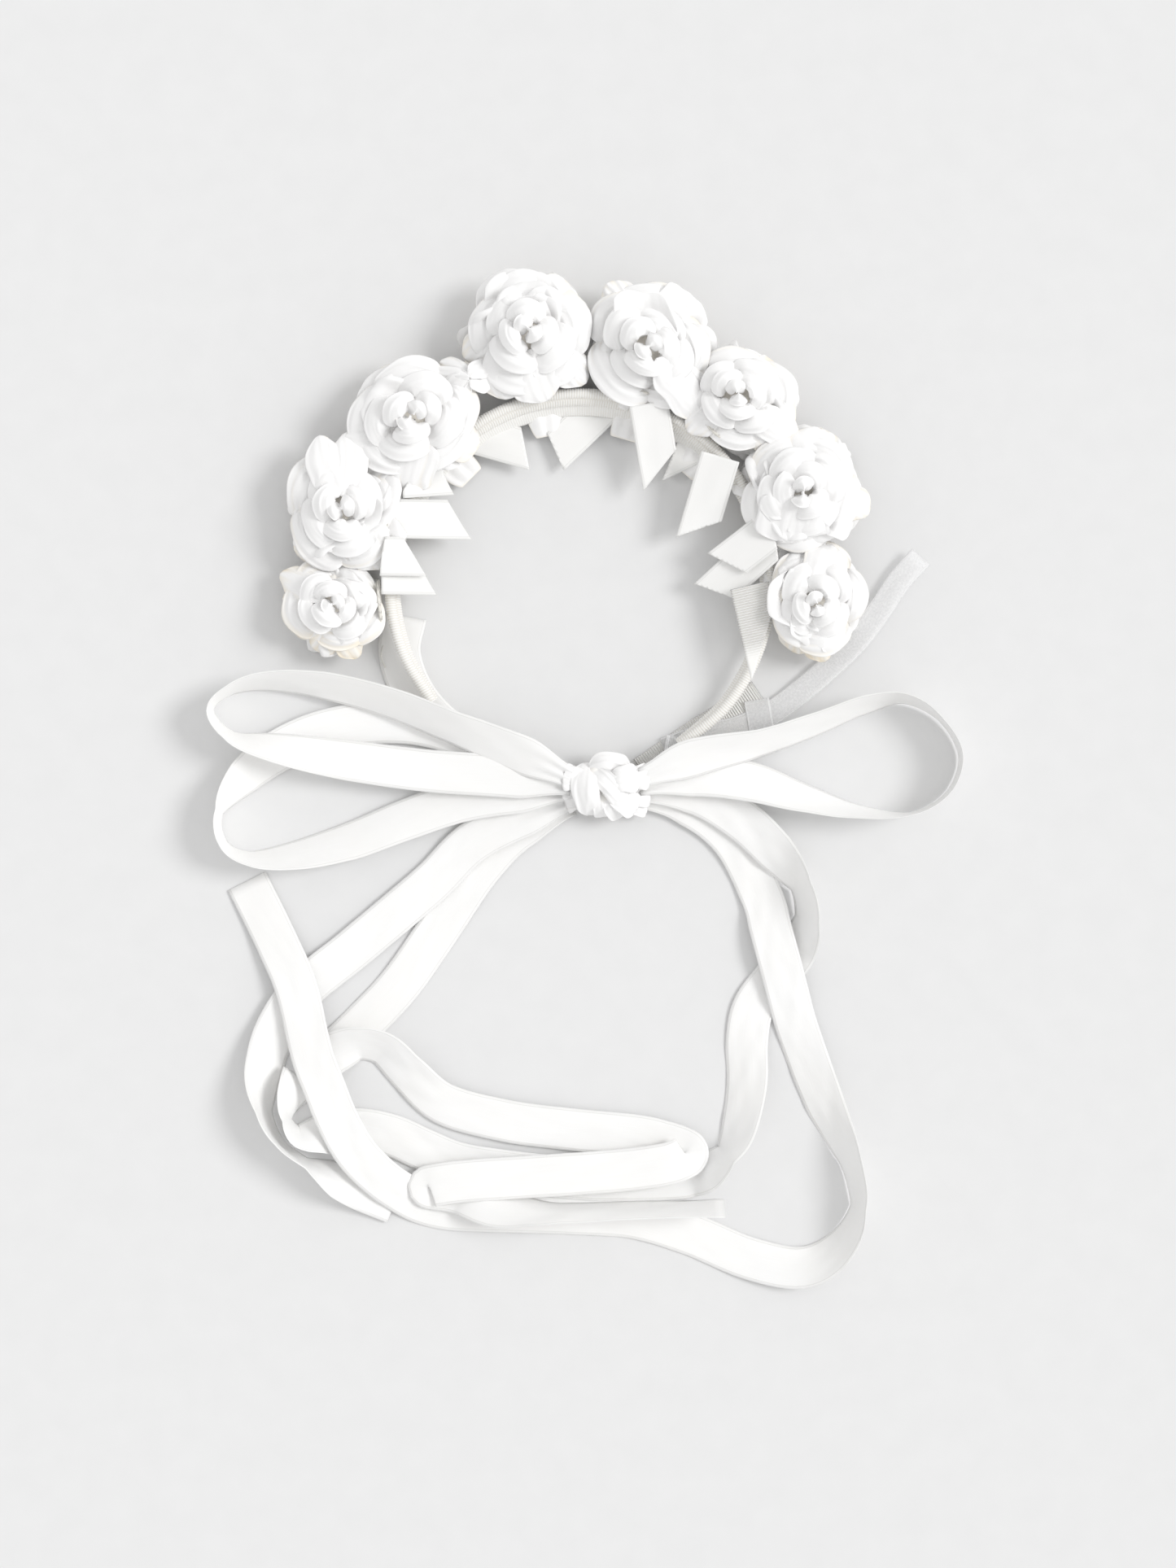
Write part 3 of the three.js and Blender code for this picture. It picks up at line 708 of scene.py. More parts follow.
def add_band():
    section = band_section()
    rows, painted_shades = [], []
    for point, across, normal, run in follow(band_route(), BAND_PER_SPAN):
        row = []
        for x, y, out_x, out_y in section:
            place = x / (BAND_WIDTH / 2)
            phase = run / RIB_PITCH + (0.5 if place > SEAM_AT else 0.0) + 0.25 * place
            rib = 0.5 + 0.5 * math.cos(2 * math.pi * phase)
            seam = math.exp(-((place - SEAM_AT) / SEAM_WIDTH) ** 2)
            wobble = 0.00012 * noise.noise(Vector((run * 60, place, 4.4)))
            push = RIB_HEIGHT * (rib - 1) * (1 - seam) - SEAM_DEPTH * seam + wobble
            offset = across * (x + out_x * push) + normal * (y + out_y * push)
            row.append(point + offset)
            # Painted shade: dark in the grooves between the ribs and along the seam
            painted_shades.append(rib * (1 - seam))
        rows.append(row)
    mesh = grid_mesh("band_grosgrain", rows, lambda i, j: (
        i * RIB_PITCH / RIB_SAMPLES, j / BAND_COLUMNS * GROSGRAIN_WIDTH), True, painted_shades)
    work = bmesh.new()
    work.from_mesh(mesh)
    bmesh.ops.holes_fill(work, edges=[e for e in work.edges if e.is_boundary], sides=0)
    bmesh.ops.recalc_face_normals(work, faces=work.faces)
    work.to_mesh(mesh)
    work.free()
    add_object("band_grosgrain", mesh, GROSGRAIN, ["band_cover"])


FLANGE_RADII = (0.0872, 0.0800)
FLANGE_Z = (0.0128, 0.0058)
FLANGE_ANGLES = (32.0, 162.0)
FLANGE_RIB_STEPS = 5
FLANGE_COLUMNS = 14
FLANGE_WIDTH = 0.0075
FLANGE_EDGE = 0.86             # where its smooth edge starts, as a share of its width


# The free edge of the ribbed ribbon the band is wrapped in, inside the back of the band
def add_flange():
    first, last = FLANGE_ANGLES
    steps = int(math.radians(last - first) * RING_RADIUS / RIB_PITCH) * FLANGE_RIB_STEPS

    def at(i, j):
        t = j / FLANGE_COLUMNS
        degrees = lerp(first, last, i / steps)
        ends = math.sin(math.pi * i / steps) ** 0.35
        rib = 0.5 + 0.5 * math.cos(2 * math.pi * (i / FLANGE_RIB_STEPS + 0.35 * t))
        bend = 0.0005 * noise.noise(Vector((degrees * 0.35, t, 2.0)))
        radius = lerp(FLANGE_RADII[0], lerp(*FLANGE_RADII, ends), t)
        height = lerp(*FLANGE_Z, t ** 1.3) + bend * t
        # Painted shade: darker in the grooves between the ribs, and a little darker over the smooth edge
        ribbed, shade_level = (1.0, 1.0) if t < FLANGE_EDGE else (0.25, 0.9)
        return ring_point(radius, degrees, height + 0.00022 * (rib - 1) * ribbed), (0.35 + 0.6 * rib) * shade_level

    mesh = surface("band_flange", steps + 1, FLANGE_COLUMNS + 1, at, lambda i, j: (
        i * RIB_PITCH / FLANGE_RIB_STEPS, j / FLANGE_COLUMNS * FLANGE_WIDTH))
    flange = add_object("band_flange", mesh, GROSGRAIN)
    thicken(flange, 0.0004)


add_band()
add_flange()

# ---- petals ----

PETAL_ROWS = 18
PETAL_COLUMNS = 16
PETAL_THICK = 0.0004
PETAL_FLOOR = 0.0006           # height of the lowest point a petal may have


# One petal of folded ribbon, as a grid of points round the rose's own axis. turn: degrees round
# the axis; base: distance from it; rise: height of the petal's foot; length and width in metres;
# start and tip: the petal's slope in degrees at its foot and its tip (90 stands up); cup: how far
# its sides wrap, in radians; lip: metres that its rim rolls back; crease: depth of its folds.
def petal_grid(turn, base, rise, length, width, start, tip, cup, lip, crease, skew, seed):
    outward = heading(turn)
    sideways = left_of(outward)
    spine = []
    place = outward * base + UP * rise
    fine = 3 * PETAL_ROWS
    for k in range(fine + 1):
        t = k / fine
        slope = math.radians(lerp(start, tip, t ** 1.6))
        direction = outward * math.cos(slope) + UP * math.sin(slope)
        inward = UP * math.cos(slope) - outward * math.sin(slope)
        spine.append((place.copy(), inward))
        place += direction * (length / fine)
    rows, painted_shades, places = [], [], []
    for i in range(PETAL_ROWS + 1):
        t = i / PETAL_ROWS
        row = []
        spread = 0.5 * width * (0.42 + 0.58 * math.sin(math.pi * min(0.12 + 0.62 * t, 0.5)))
        spread *= 1 - 0.12 * max(0.0, t - 0.7) / 0.3
        for j in range(PETAL_COLUMNS + 1):
            s = 2 * j / PETAL_COLUMNS - 1
            notch = 1 - (0.30 + 0.1 * math.sin(seed * 3.1)) * abs(s) ** 2.3
            notch += 0.03 * math.sin(5 * s + seed) * t
            reach = min(t * notch, 1.0)
            k = reach * fine
            low = min(int(k), fine - 1)
            point = spine[low][0].lerp(spine[low + 1][0], k - low)
            inward = spine[low][1]
            bend = cup * (1 - 0.35 * t)
            lateral = spread * math.sin(s * bend) / bend
            lift = spread * (1 - math.cos(s * bend)) / bend
            rim = max(t, abs(s) ** 1.5)
            roll = lip * (max(0.0, rim - 0.78) / 0.22) ** 2
            folds = crease * noise.noise(Vector((s * 2.4 + seed, t * 0.9, seed * 1.3)))
            folds += 0.45 * crease * noise.noise(Vector((s * 6.0 - seed, t * 1.6 + seed, 2.0)))
            folds += 0.5 * crease * (1 - t) * math.sin(9 * s + seed)
            ruffle = 0.5 * crease * t * t * math.sin(3.3 * s + seed * 2)
            point = point + sideways * (lateral + skew * t * t * width * 0.5)
            point += inward * (lift - roll + folds + ruffle)
            row.append(point)
            # Painted shade: darker towards the petal's foot, deep in the rose
            painted_shades.append(min(1.0, 0.12 + 1.15 * reach ** 0.8))
            places.append((s * spread, reach * length))
        rows.append(row)
    return rows, painted_shades, places

# ---- roses ----

# Each rose: how far its face tilts and the way it leans, in degrees, and a seed
ROSES = {
    "rose_1": {"lean": 18, "toward": 20, "seed": 11},
    "rose_2": {"lean": 14, "toward": 60, "seed": 23},
    "rose_3": {"lean": 16, "toward": 230, "seed": 37},
    "rose_4": {"lean": 18, "toward": 250, "seed": 41},
    "rose_5": {"lean": 22, "toward": 265, "seed": 53},
    "rose_6": {"lean": 12, "toward": 320, "seed": 67},
    "rose_7": {"lean": 20, "toward": 120, "seed": 71},
    "rose_8": {"lean": 18, "toward": 200, "seed": 83},
}
HEART_SHARE = 0.535            # a heart's radius as a share of its rose's


# How a rose's outer petals are placed, with its radius and its height
def rose_frame(name, lean, toward):
    low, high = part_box(name + "_heart")
    middle = (low + high) / 2
    middle.z = 0
    radius = (high.x - low.x) / 2 / HEART_SHARE
    pivot = UP * (high.z * 0.35)
    turn = Matrix.Rotation(math.radians(lean), 4, left_of(heading(toward)))
    tilt = Matrix.Translation(pivot) @ turn @ Matrix.Translation(-pivot)
    return Matrix.Translation(middle) @ tilt, radius, high.z


# Rings of outer petals, from the lowest: (count, turn from the first ring in degrees, and then
# base, rise, length, width, start, tip, cup, lip and crease as for petal_grid, where the lengths up
# to width are shares of the rose's radius, and rise is a share of its height)
OUTER_RINGS = [
    (6, 0, 0.30, 0.16, 0.92, 1.35, 40, -60, 0.75, 0.0012, 0.0012),
    (6, 30, 0.30, 0.26, 0.86, 1.3, 52, -34, 0.95, 0.0016, 0.0014),
    (5, 10, 0.16, 0.34, 0.70, 1.2, 50, -20, 1.15, 0.0016, 0.0014),
]


def ring_of_petals(rng, count, first, base, rise, length, width, start, tip, cup, lip, crease):
    petals = []
    for k in range(count):
        vary = rng.uniform
        petals.append({
            "turn": first + 360 * k / count + vary(-14, 14),
            "base": base * vary(0.8, 1.2),
            "rise": rise * vary(0.9, 1.1),
            "length": length * vary(0.88, 1.12),
            "width": width * vary(0.85, 1.15),
            "start": start + vary(-8, 8),
            "tip": tip + vary(-18, 18),
            "cup": cup * vary(0.8, 1.2),
            "lip": lip * vary(0.4, 1.4),
            "crease": crease * vary(0.7, 1.4),
            "skew": vary(-0.35, 0.35),
            "seed": vary(0, 50),
        })
    return petals


# Layers of petals that wrap a rose, from the outside in, in shares of the rose's radius and
# height: (count, distance from the heart, height, sweep in degrees, width, dome)
WRAP_LAYERS = [
    (5, 0.80, 0.56, 88, 0.50, 0.13),
    (4, 0.56, 0.72, 104, 0.44, 0.15),
    (3, 0.34, 0.86, 126, 0.34, 0.14),
    (2, 0.13, 0.95, 150, 0.24, 0.10),
]
LAYER_TURN = 37                # how far each layer is turned from the one outside it, in degrees

# What sets each rose apart. heart: where its middle sits; stretch: the way it is drawn out and
# how far; tongues: petals that point outward, as (direction, start, end, width, height at the
# start, height at the end). Lengths are shares of the rose's radius, heights of its height.
FACES = {
    "rose_1": {"heart": (-0.1, -0.2), "stretch": (80, 1.15), "tongues": [
        (75, 0.2, 1.0, 0.8, 0.75, 0.5), (110, 0.3, 1.0, 0.6, 0.7, 0.45), (250, 0.2, 1.1, 0.8, 0.75, 0.3),
        (280, 0.3, 1.2, 0.6, 0.6, 0.25), (200, 0.3, 0.9, 0.6, 0.6, 0.3)]},
    "rose_2": {"heart": (0.0, -0.1), "stretch": (60, 1.1), "tongues": [
        (80, 0.3, 1.1, 0.9, 0.6, 0.4), (-20, 0.3, 1.3, 0.6, 0.6, 0.4), (260, 0.1, 0.9, 1.1, 0.8, 0.55),
        (170, 0.3, 0.9, 0.6, 0.6, 0.45)]},
    "rose_3": {"heart": (-0.1, 0.1), "stretch": (-25, 1.2), "tongues": [
        (-35, 0.3, 1.3, 0.6, 0.7, 0.4), (-60, 0.3, 1.2, 0.7, 0.65, 0.4), (215, 0.3, 1.2, 0.6, 0.65, 0.45),
        (40, 0.4, 1.1, 0.8, 0.55, 0.35)]},
    "rose_4": {"heart": (0.0, -0.1), "stretch": (-45, 1.2), "tongues": [
        (-55, 0.2, 1.4, 0.6, 0.8, 0.4), (-35, 0.3, 1.3, 0.5, 0.7, 0.4), (120, 0.4, 1.2, 0.6, 0.5, 0.4),
        (45, 0.4, 1.2, 0.6, 0.5, 0.4), (85, 0.4, 1.1, 0.8, 0.6, 0.45)]},
    "rose_5": {"heart": (0.0, 0.0), "stretch": (0, 1.0), "tongues": [
        (95, 0.3, 1.1, 1.1, 0.5, 0.4), (40, 0.4, 1.1, 0.9, 0.55, 0.45), (-40, 0.3, 1.3, 0.6, 0.6, 0.4),
        (200, 0.3, 1.2, 0.5, 0.6, 0.4), (250, 0.3, 1.2, 0.8, 0.65, 0.45), (285, 0.3, 1.2, 0.8, 0.65, 0.45)]},
    "rose_6": {"heart": (0.0, 0.0), "stretch": (35, 1.25), "tongues": [
        (135, 0.4, 1.1, 0.7, 0.5, 0.35), (265, 0.3, 1.2, 0.9, 0.65, 0.4), (230, 0.3, 1.3, 0.7, 0.6, 0.35),
        (-25, 0.4, 1.2, 0.7, 0.6, 0.4), (190, 0.4, 1.1, 0.4, 0.6, 0.5)]},
    "rose_7": {"heart": (0.0, -0.1), "stretch": (100, 1.2), "tongues": [
        (110, 0.2, 1.2, 0.6, 0.75, 0.5), (85, 0.2, 1.2, 0.6, 0.75, 0.5), (150, 0.3, 1.1, 0.5, 0.6, 0.4),
        (175, 0.3, 1.1, 0.5, 0.55, 0.35), (215, 0.3, 1.2, 0.7, 0.6, 0.35), (-50, 0.3, 1.2, 0.8, 0.65, 0.4)]},
    "rose_8": {"heart": (0.0, 0.0), "stretch": (150, 1.15), "tongues": [
        (150, 0.2, 1.3, 0.6, 0.75, 0.35), (175, 0.2, 1.1, 0.6, 0.7, 0.4), (240, 0.3, 1.1, 0.7, 0.6, 0.35),
        (-70, 0.3, 1.2, 0.6, 0.6, 0.35), (60, 0.3, 1.0, 0.7, 0.6, 0.4), (210, 0.3, 1.1, 0.6, 0.6, 0.35)]},
}

# The loose bunch: long petals that fan out of its middle, in the same form as a rose's tongues
CLUSTER_TONGUES = [
    (170, 0.0, 1.9, 0.7, 0.85, 0.55), (190, 0.0, 2.0, 0.6, 0.8, 0.5), (150, 0.0, 1.5, 0.6, 0.8, 0.55),
    (215, 0.0, 1.8, 0.7, 0.85, 0.6), (235, 0.0, 1.6, 0.6, 0.8, 0.55), (20, 0.0, 1.1, 0.7, 0.85, 0.7),
    (-20, 0.0, 1.0, 0.6, 0.8, 0.7), (100, 0.0, 0.9, 0.6, 0.7, 0.5),
]


# Points (x, y, z, width) in mm of a petal that curves round the heart
def wrapped_petal(angle, reach, height, sweep, width):
    points = []
    for step in (-1.0, -0.5, 0.0, 0.5, 1.0):
        a = math.radians(angle + sweep / 2 * step)
        end = step * step
        away = reach * (1 - 0.14 * end)
        points.append((away * math.cos(a), away * math.sin(a),
                       height * (1 - 0.2 * end), width * (1 - 0.4 * end)))
    return points


# Points in mm of a petal that points outward, bent a little to one side
def tongue_petal(direction, start, end, width, low_end, high_end, bend):
    a = math.radians(direction)
    points = []
    for share, breadth in ((0.0, 0.6), (0.35, 1.0), (0.7, 1.0), (1.0, 0.5)):
        away = lerp(start, end, share)
        aside = bend * math.sin(math.pi * share)
        points.append((away * math.cos(a) - aside * math.sin(a), away * math.sin(a) + aside * math.cos(a),
                       lerp(low_end, high_end, share), width * breadth))
    return points


# A row of tongues as (points, dome), for a rose or bunch of this radius and height in mm
def tongue_petals(tongues, radius, height, bend, dome, rng):
    return [(tongue_petal(direction, start * radius, end * radius, width * radius, z_start * height,
                          z_end * height, rng.uniform(-bend, bend) * radius), dome * radius)
            for direction, start, end, width, z_start, z_end in tongues]


# All the folded petals of one rose, as (points, dome), from the lowest to the highest
def rose_petals(name, rng):
    face = FACES[name]
    radius = 1000 * radius_of(name + "_petals")
    height = 1000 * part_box(name + "_heart")[1].z
    petals = tongue_petals(face["tongues"], radius, height, 0.12, 0.14, rng)
    first = rng.uniform(0, 360)
    for layer, (count, reach, rise, sweep, width, dome) in enumerate(WRAP_LAYERS):
        for k in range(count):
            angle = first + LAYER_TURN * layer + 360 * k / count + rng.uniform(-12, 12)
            petal = wrapped_petal(
                angle,
                reach * radius * rng.uniform(0.92, 1.06),
                rise * height * rng.uniform(0.94, 1.03),
                sweep * rng.uniform(0.9, 1.15),
                width * radius * rng.uniform(0.9, 1.15))
            petals.append((petal, dome * radius))
    toward, ratio = face["stretch"]
    way = heading(toward)
    heart_x, heart_y = face["heart"]
    placed = []
    for points, dome in petals:
        moved = []
        for x, y, z, width in points:
            drawn = (ratio - 1) * (x * way.x + y * way.y)
            inner = max(0.0, 1 - math.hypot(x, y) / radius) * radius
            moved.append((x + drawn * way.x + heart_x * inner, y + drawn * way.y + heart_y * inner, z, width))
        placed.append((moved, dome))
    return placed


PETAL_SPREAD = 1.18            # how much wider a petal is than the strip of it that shows
FOLD_THICK = 0.0003
FOLD_SHADE_HEIGHT = 0.010              # height below which a rose's folds are painted in full shade
FOLD_ROWS = 34
FOLD_COLUMNS = 28


# A folded petal. Its outer edge, away from the rose's middle, is free and slightly rolled; its
# inner edge dips under the petal inside it. It is painted in shade: darkest below the height given, and
# darker towards its sides and in its creases.
def fold_rows(points, dome, middle, seed, shade_level):
    route = [(middle.x + x / 1000, middle.y + y / 1000, z / 1000, 0) for x, y, z, width in points]
    widths = [width / 1000 for x, y, z, width in points]
    per_span = max(6, FOLD_ROWS // (len(points) - 1))
    places = follow(route, per_span)
    count = len(places) - 1
    phase = random.Random(seed).uniform(0, 40)
    grid, painted_shades, spots = [], [], []
    for i, (point, across, normal, run) in enumerate(places):
        t = i / count
        span = min(i // per_span, len(points) - 2)
        half = PETAL_SPREAD * lerp(widths[span], widths[span + 1], smooth(i / per_span - span)) / 2
        half *= (1 - abs(2 * t - 1) ** 5) ** 0.5 + 0.02
        across = Vector((across.x, across.y, 0)).normalized()
        outward = Vector((point.x - middle.x, point.y - middle.y, 0))
        reach = outward.length
        outward = outward / max(reach, 1e-6)
        side = across.dot(outward)
        rise = 0.62 * dome / 1000 * math.sin(math.pi * (0.10 + 0.82 * t)) ** 0.7
        row = []
        for j in range(FOLD_COLUMNS + 1):
            s = 2 * j / FOLD_COLUMNS - 1
            edge = 1 + 0.16 * noise.noise(Vector((run * 110, s * 0.9 + phase, phase)))
            place = point + across * (s * half * edge)
            free = s * side
            fall = 0.30 * min(1, reach / 0.008) * half * free
            tuck = 0.55 * half * max(0.0, -free - 0.25) ** 1.6
            folds = noise.noise(Vector((s * half * 170 + phase, run * 26, phase)))
            crease = 1 - 2 * abs(noise.noise(Vector((s * half * 240 - phase, run * 34, phase + 9))))
            roll = -0.0007 * (max(0.0, s * math.copysign(1, side) - 0.78) / 0.22) ** 1.5
            pleat = noise.noise(Vector((s * half * 520 + phase, run * 36 + 0.6 * s, phase + 21)))
            lift = 0.0006 * folds + 0.0006 * crease ** 3 + 0.00042 * pleat
            place.z += rise * (1 - abs(s) ** 2.4) - fall - tuck + lift - roll
            # Painted shade: the colour darkens low down, below and just above the given height, towards the
            # petal's sides and in the hollows of its creases
            low = smooth((place.z - shade_level) / 0.016)
            row.append(place)
            shade = 0.18 + 0.55 * low + 0.12 * (1 - abs(s)) + 0.3 * pleat + 0.1 * folds
            painted_shades.append(shade)
            spots.append((s * half, run))
        grid.append(row)
    return grid, painted_shades, spots


def add_folds(name, petals, box_node, replaced, shade_level=FOLD_SHADE_HEIGHT):
    middle = middle_of(box_node)
    grids = [fold_rows(points, dome, middle, SEED + 17 * k + len(name), shade_level)
             for k, (points, dome) in enumerate(petals)]
    folds = add_object(name + "_folds", join_grids(name + "_folds", grids), PETAL, replaced)
    thicken(folds, FOLD_THICK)


def add_rose(name, lean, toward, seed):
    rng = random.Random(SEED + seed)
    placing, radius, height = rose_frame(name, lean, toward)
    first = rng.uniform(0, 120)
    outer = []
    for count, turn, base, rise, length, width, *shape in OUTER_RINGS:
        outer += ring_of_petals(rng, count, first + turn, base * radius, rise * height, length * radius,
                                width * radius, *shape)
    mesh = join_grids(name + "_outer", [petal_grid(**petal) for petal in outer], placing)
    petals = add_object(name + "_outer", mesh, PETAL, [name + "_petals"])
    thicken(petals, PETAL_THICK, 1)
    add_folds(name, rose_petals(name, rng), name + "_petals", [name + "_heart"])
    add_rose_foot(name, radius, height, rng)


# The outline of a rose's foot from the table up, in shares of the rose's radius and height
FOOT = [(0.001, 0.0004), (0.5, 0.0004), (0.74, 0.03), (0.8, 0.14), (0.74, 0.28), (0.6, 0.42),
        (0.35, 0.5), (0.02, 0.52)]
FOOT_SIDES = 96


# The gathered foot that the petals are sewn to, pleated and flat on the table
def add_rose_foot(name, radius, height, rng):
    phase = rng.uniform(0, 6)
    middle = middle_of(name + "_heart")
    middle.z = 0

    def at(i, j):
        share, z = FOOT[i]
        a = 2 * math.pi * j / FOOT_SIDES
        pleat = 1 + 0.045 * math.sin(14 * a + phase) + 0.03 * math.sin(9 * a + 2 * phase)
        away = share * radius * pleat
        # Painted shade: the whole foot, low under the petals, gets one shaded tone
        return middle + Vector((away * math.cos(a), away * math.sin(a), z * height)), 0.3

    mesh = surface(name + "_foot", len(FOOT), FOOT_SIDES, at, lambda i, j: (j * 0.001, i * 0.004), True)
    smooth_out(add_object(name + "_foot", mesh, PETAL), 1)


for rose_name, rose_settings in ROSES.items():
    add_rose(rose_name, **rose_settings)

# ---- laid petals ----


# A spindle-shaped petal laid from one point to another, domed and creased along its length.
# arch: how far its middle rises above the straight line; dome: how far it bulges across.
def leaf_rows(start, end, width, arch, dome, crease, seed, rows=22, columns=14, blunt=0.55):
    along = end - start
    length = along.length
    direction = along / length
    across = direction.cross(UP).normalized()
    normal = across.cross(direction).normalized()
    if normal.z < 0:
        normal.negate()
    grid, painted_shades, places = [], [], []
    for i in range(rows + 1):
        t = i / rows
        half = width / 2 * math.sin(math.pi * (0.06 + 0.88 * t)) ** (0.75 - blunt)
        row = []
        for j in range(columns + 1):
            s = 2 * j / columns - 1
            bulge = dome * (1 - s * s) * math.sin(math.pi * t) ** 0.6
            folds = crease * math.sin(7.5 * s + seed + 1.2 * noise.noise(Vector((t * 3, seed, 0.3))))
            folds += 0.8 * crease * noise.noise(Vector((s * 3 + seed, t * 1.4, seed)))
            rim = 0.6 * crease * (max(0.0, abs(s) - 0.8) / 0.2) ** 2
            bend = 0.12 * width * noise.noise(Vector((t * 2.2, seed * 1.9, 5.0)))
            point = start + along * t + across * (s * half + bend)
            swell = math.sin(math.pi * t)
            point += normal * (arch * swell + bulge + folds * swell ** 0.4 - rim)
            row.append(point)
            # Painted shade: darker towards the edges and the ends
            painted_shades.append(min(1.0, 0.35 + 0.8 * (1 - s * s) ** 0.5 * math.sin(math.pi * t) ** 0.5))
            places.append((s * half, t * length))
        grid.append(row)
    return grid, painted_shades, places


petal_bunch = tongue_petals(CLUSTER_TONGUES, 1000 * radius_of("petal_cluster"),
                            1000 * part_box("petal_cluster")[1].z, 0.25, 0.22, random.Random(SEED))
add_folds("petal_cluster", petal_bunch, "petal_cluster", ["petal_cluster"])

UNDER_ROSES = ("rose_3", "rose_4", "rose_5", "rose_6")
UNDER_REACH = 0.016            # how far a petal shows inside the band's centre line
UNDER_WIDTH = 0.018
UNDER_START = 0.009            # how far outside that line it starts


# Rounded petals that reach in under the band from the roses behind it
def add_under_petals():
    grids = []
    for k, name in enumerate(UNDER_ROSES):
        middle = middle_of(name + "_petals")
        degrees = math.degrees(math.atan2(middle.y - RING_CENTRE[1], middle.x - RING_CENTRE[0]))
        start = ring_point(RING_RADIUS + UNDER_START, degrees, 0.006)
        end = ring_point(RING_RADIUS - UNDER_REACH, degrees, 0.0045)
        grids.append(leaf_rows(start, end, UNDER_WIDTH, 0.001, 0.0015, 0.0005, 2.3 * k))
    under = add_object("under_petals", join_grids("under_petals", grids), PETAL)
    thicken(under, PETAL_THICK, 1)


add_under_petals()

# ---- cut ribbon ends ----

# The way each end points, in degrees, and how far its tip curls up, in metres
END_HEADINGS = {
    "ribbon_end_1": (5, 0.001), "ribbon_end_2": (0, 0.0012), "ribbon_end_3": (0, 0.0008),
    "ribbon_end_4": (0, 0.001), "ribbon_end_5": (-16, 0.001), "ribbon_end_6": (224, 0.0008),
    "ribbon_end_7": (-80, 0.0014), "ribbon_end_8": (205, 0.001), "ribbon_end_9": (253.5, 0.0016),
    "ribbon_end_10": (217, 0.001), "ribbon_end_11": (222, 0.0008), "ribbon_end_12": (-77, 0.0006),
}
END_THICK = 0.00038
END_CELL = 0.0012
END_FLOOR = 0.0004             # height of the lowest point an end's sheet may have
END_SINK = 0.0003              # how far the sheet lies below the node's upper face


# Cuts a flat mesh into strips of one cell, from one distance to another along a direction
def cut_grid(work, point, direction, low, high):
    steps = int((high - low) / END_CELL)
    for k in range(1, steps):
        place = point + direction * (low + k * END_CELL)
        everything = work.verts[:] + work.edges[:] + work.faces[:]
        bmesh.ops.bisect_plane(work, geom=everything, dist=1e-6, plane_co=place, plane_no=direction)


# A ribbon end is the upper face of its CAD node, cut into cells, rippled and curled at its tip
def add_ribbon_end(name, degrees, curl, offset):
    work = bmesh.new()
    work.from_mesh(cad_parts[name].data)
    bmesh.ops.remove_doubles(work, verts=work.verts, dist=1e-6)
    work.normal_update()
    top = max(work.faces, key=lambda f: f.normal.z * f.calc_area())
    normal = top.normal.copy()
    others = [f for f in work.faces if f.normal.dot(normal) < 0.99]
    bmesh.ops.delete(work, geom=others, context="FACES")
    bmesh.ops.dissolve_faces(work, faces=work.faces[:])
    area = sum(f.calc_area() for f in work.faces)
    along = heading(degrees)
    along = (along - normal * along.dot(normal)).normalized()
    side = normal.cross(along)
    origin = max((v.co for v in work.verts), key=lambda p: p.dot(along)).copy()
    reach = [(v.co - origin).dot(along) for v in work.verts]
    breadth = [(v.co - origin).dot(side) for v in work.verts]
    low_side, high_side = min(breadth), max(breadth)
    length = -min(reach)
    cut_grid(work, origin, along, -length, 0)
    cut_grid(work, origin, side, low_side, high_side)
    bmesh.ops.triangulate(work, faces=[f for f in work.faces if len(f.verts) > 4])
    layer = work.loops.layers.uv.new("UVMap")
    width = high_side - low_side
    for face in work.faces:
        for loop in face.loops:
            d = loop.vert.co - origin
            loop[layer].uv = (d.dot(along) + length, (d.dot(side) - low_side) / width * SATIN_WIDTH)
    for vert in work.verts:
        d = vert.co - origin
        back = -d.dot(along)
        share = 1 - min(back / length, 1)
        place = 2 * (d.dot(side) - low_side) / width - 1
        ripple = noise.noise(Vector((back * 60 + offset, place * 1.1, offset)))
        buckle = noise.noise(Vector((back * 25 - place * 0.8, offset, 7.0)))
        lift = curl * share ** 2 * (0.4 + 0.6 * place * place) + 0.0004 * ripple + 0.0008 * buckle
        vert.co = vert.co - normal * END_SINK + normal * lift
        vert.co.z = max(vert.co.z, END_FLOOR)
    mesh = bpy.data.meshes.new(name + "_satin")
    work.to_mesh(mesh)
    work.free()
    cloth = RIBBED_SATIN if name == "ribbon_end_12" else SHADED_END_SATIN
    end = add_object(name + "_satin", mesh, cloth, [name])
    thicken(end, END_THICK)


for end_index, (end_name, (end_heading, end_curl)) in enumerate(END_HEADINGS.items()):
    add_ribbon_end(end_name, end_heading, end_curl, 4.7 * end_index)

# ---- sheer scraps by the right arm of the band ----

# Each scrap lies by the strap that ties the right end: its middle in shares of the strap's box,
# its width and length, its turn in degrees and its height
SCRAPS = {
    "sheer_scrap_1": (0.4, 0.4, 0.024, 0.010, -10, 0.0026),
    "sheer_scrap_2": (0.0, 0.1, 0.011, 0.011, 15, 0.0020),
    "sheer_scrap_3": (0.9, 0.6, 0.012, 0.026, 10, 0.0018),
}

SCRAP_CELLS = 16


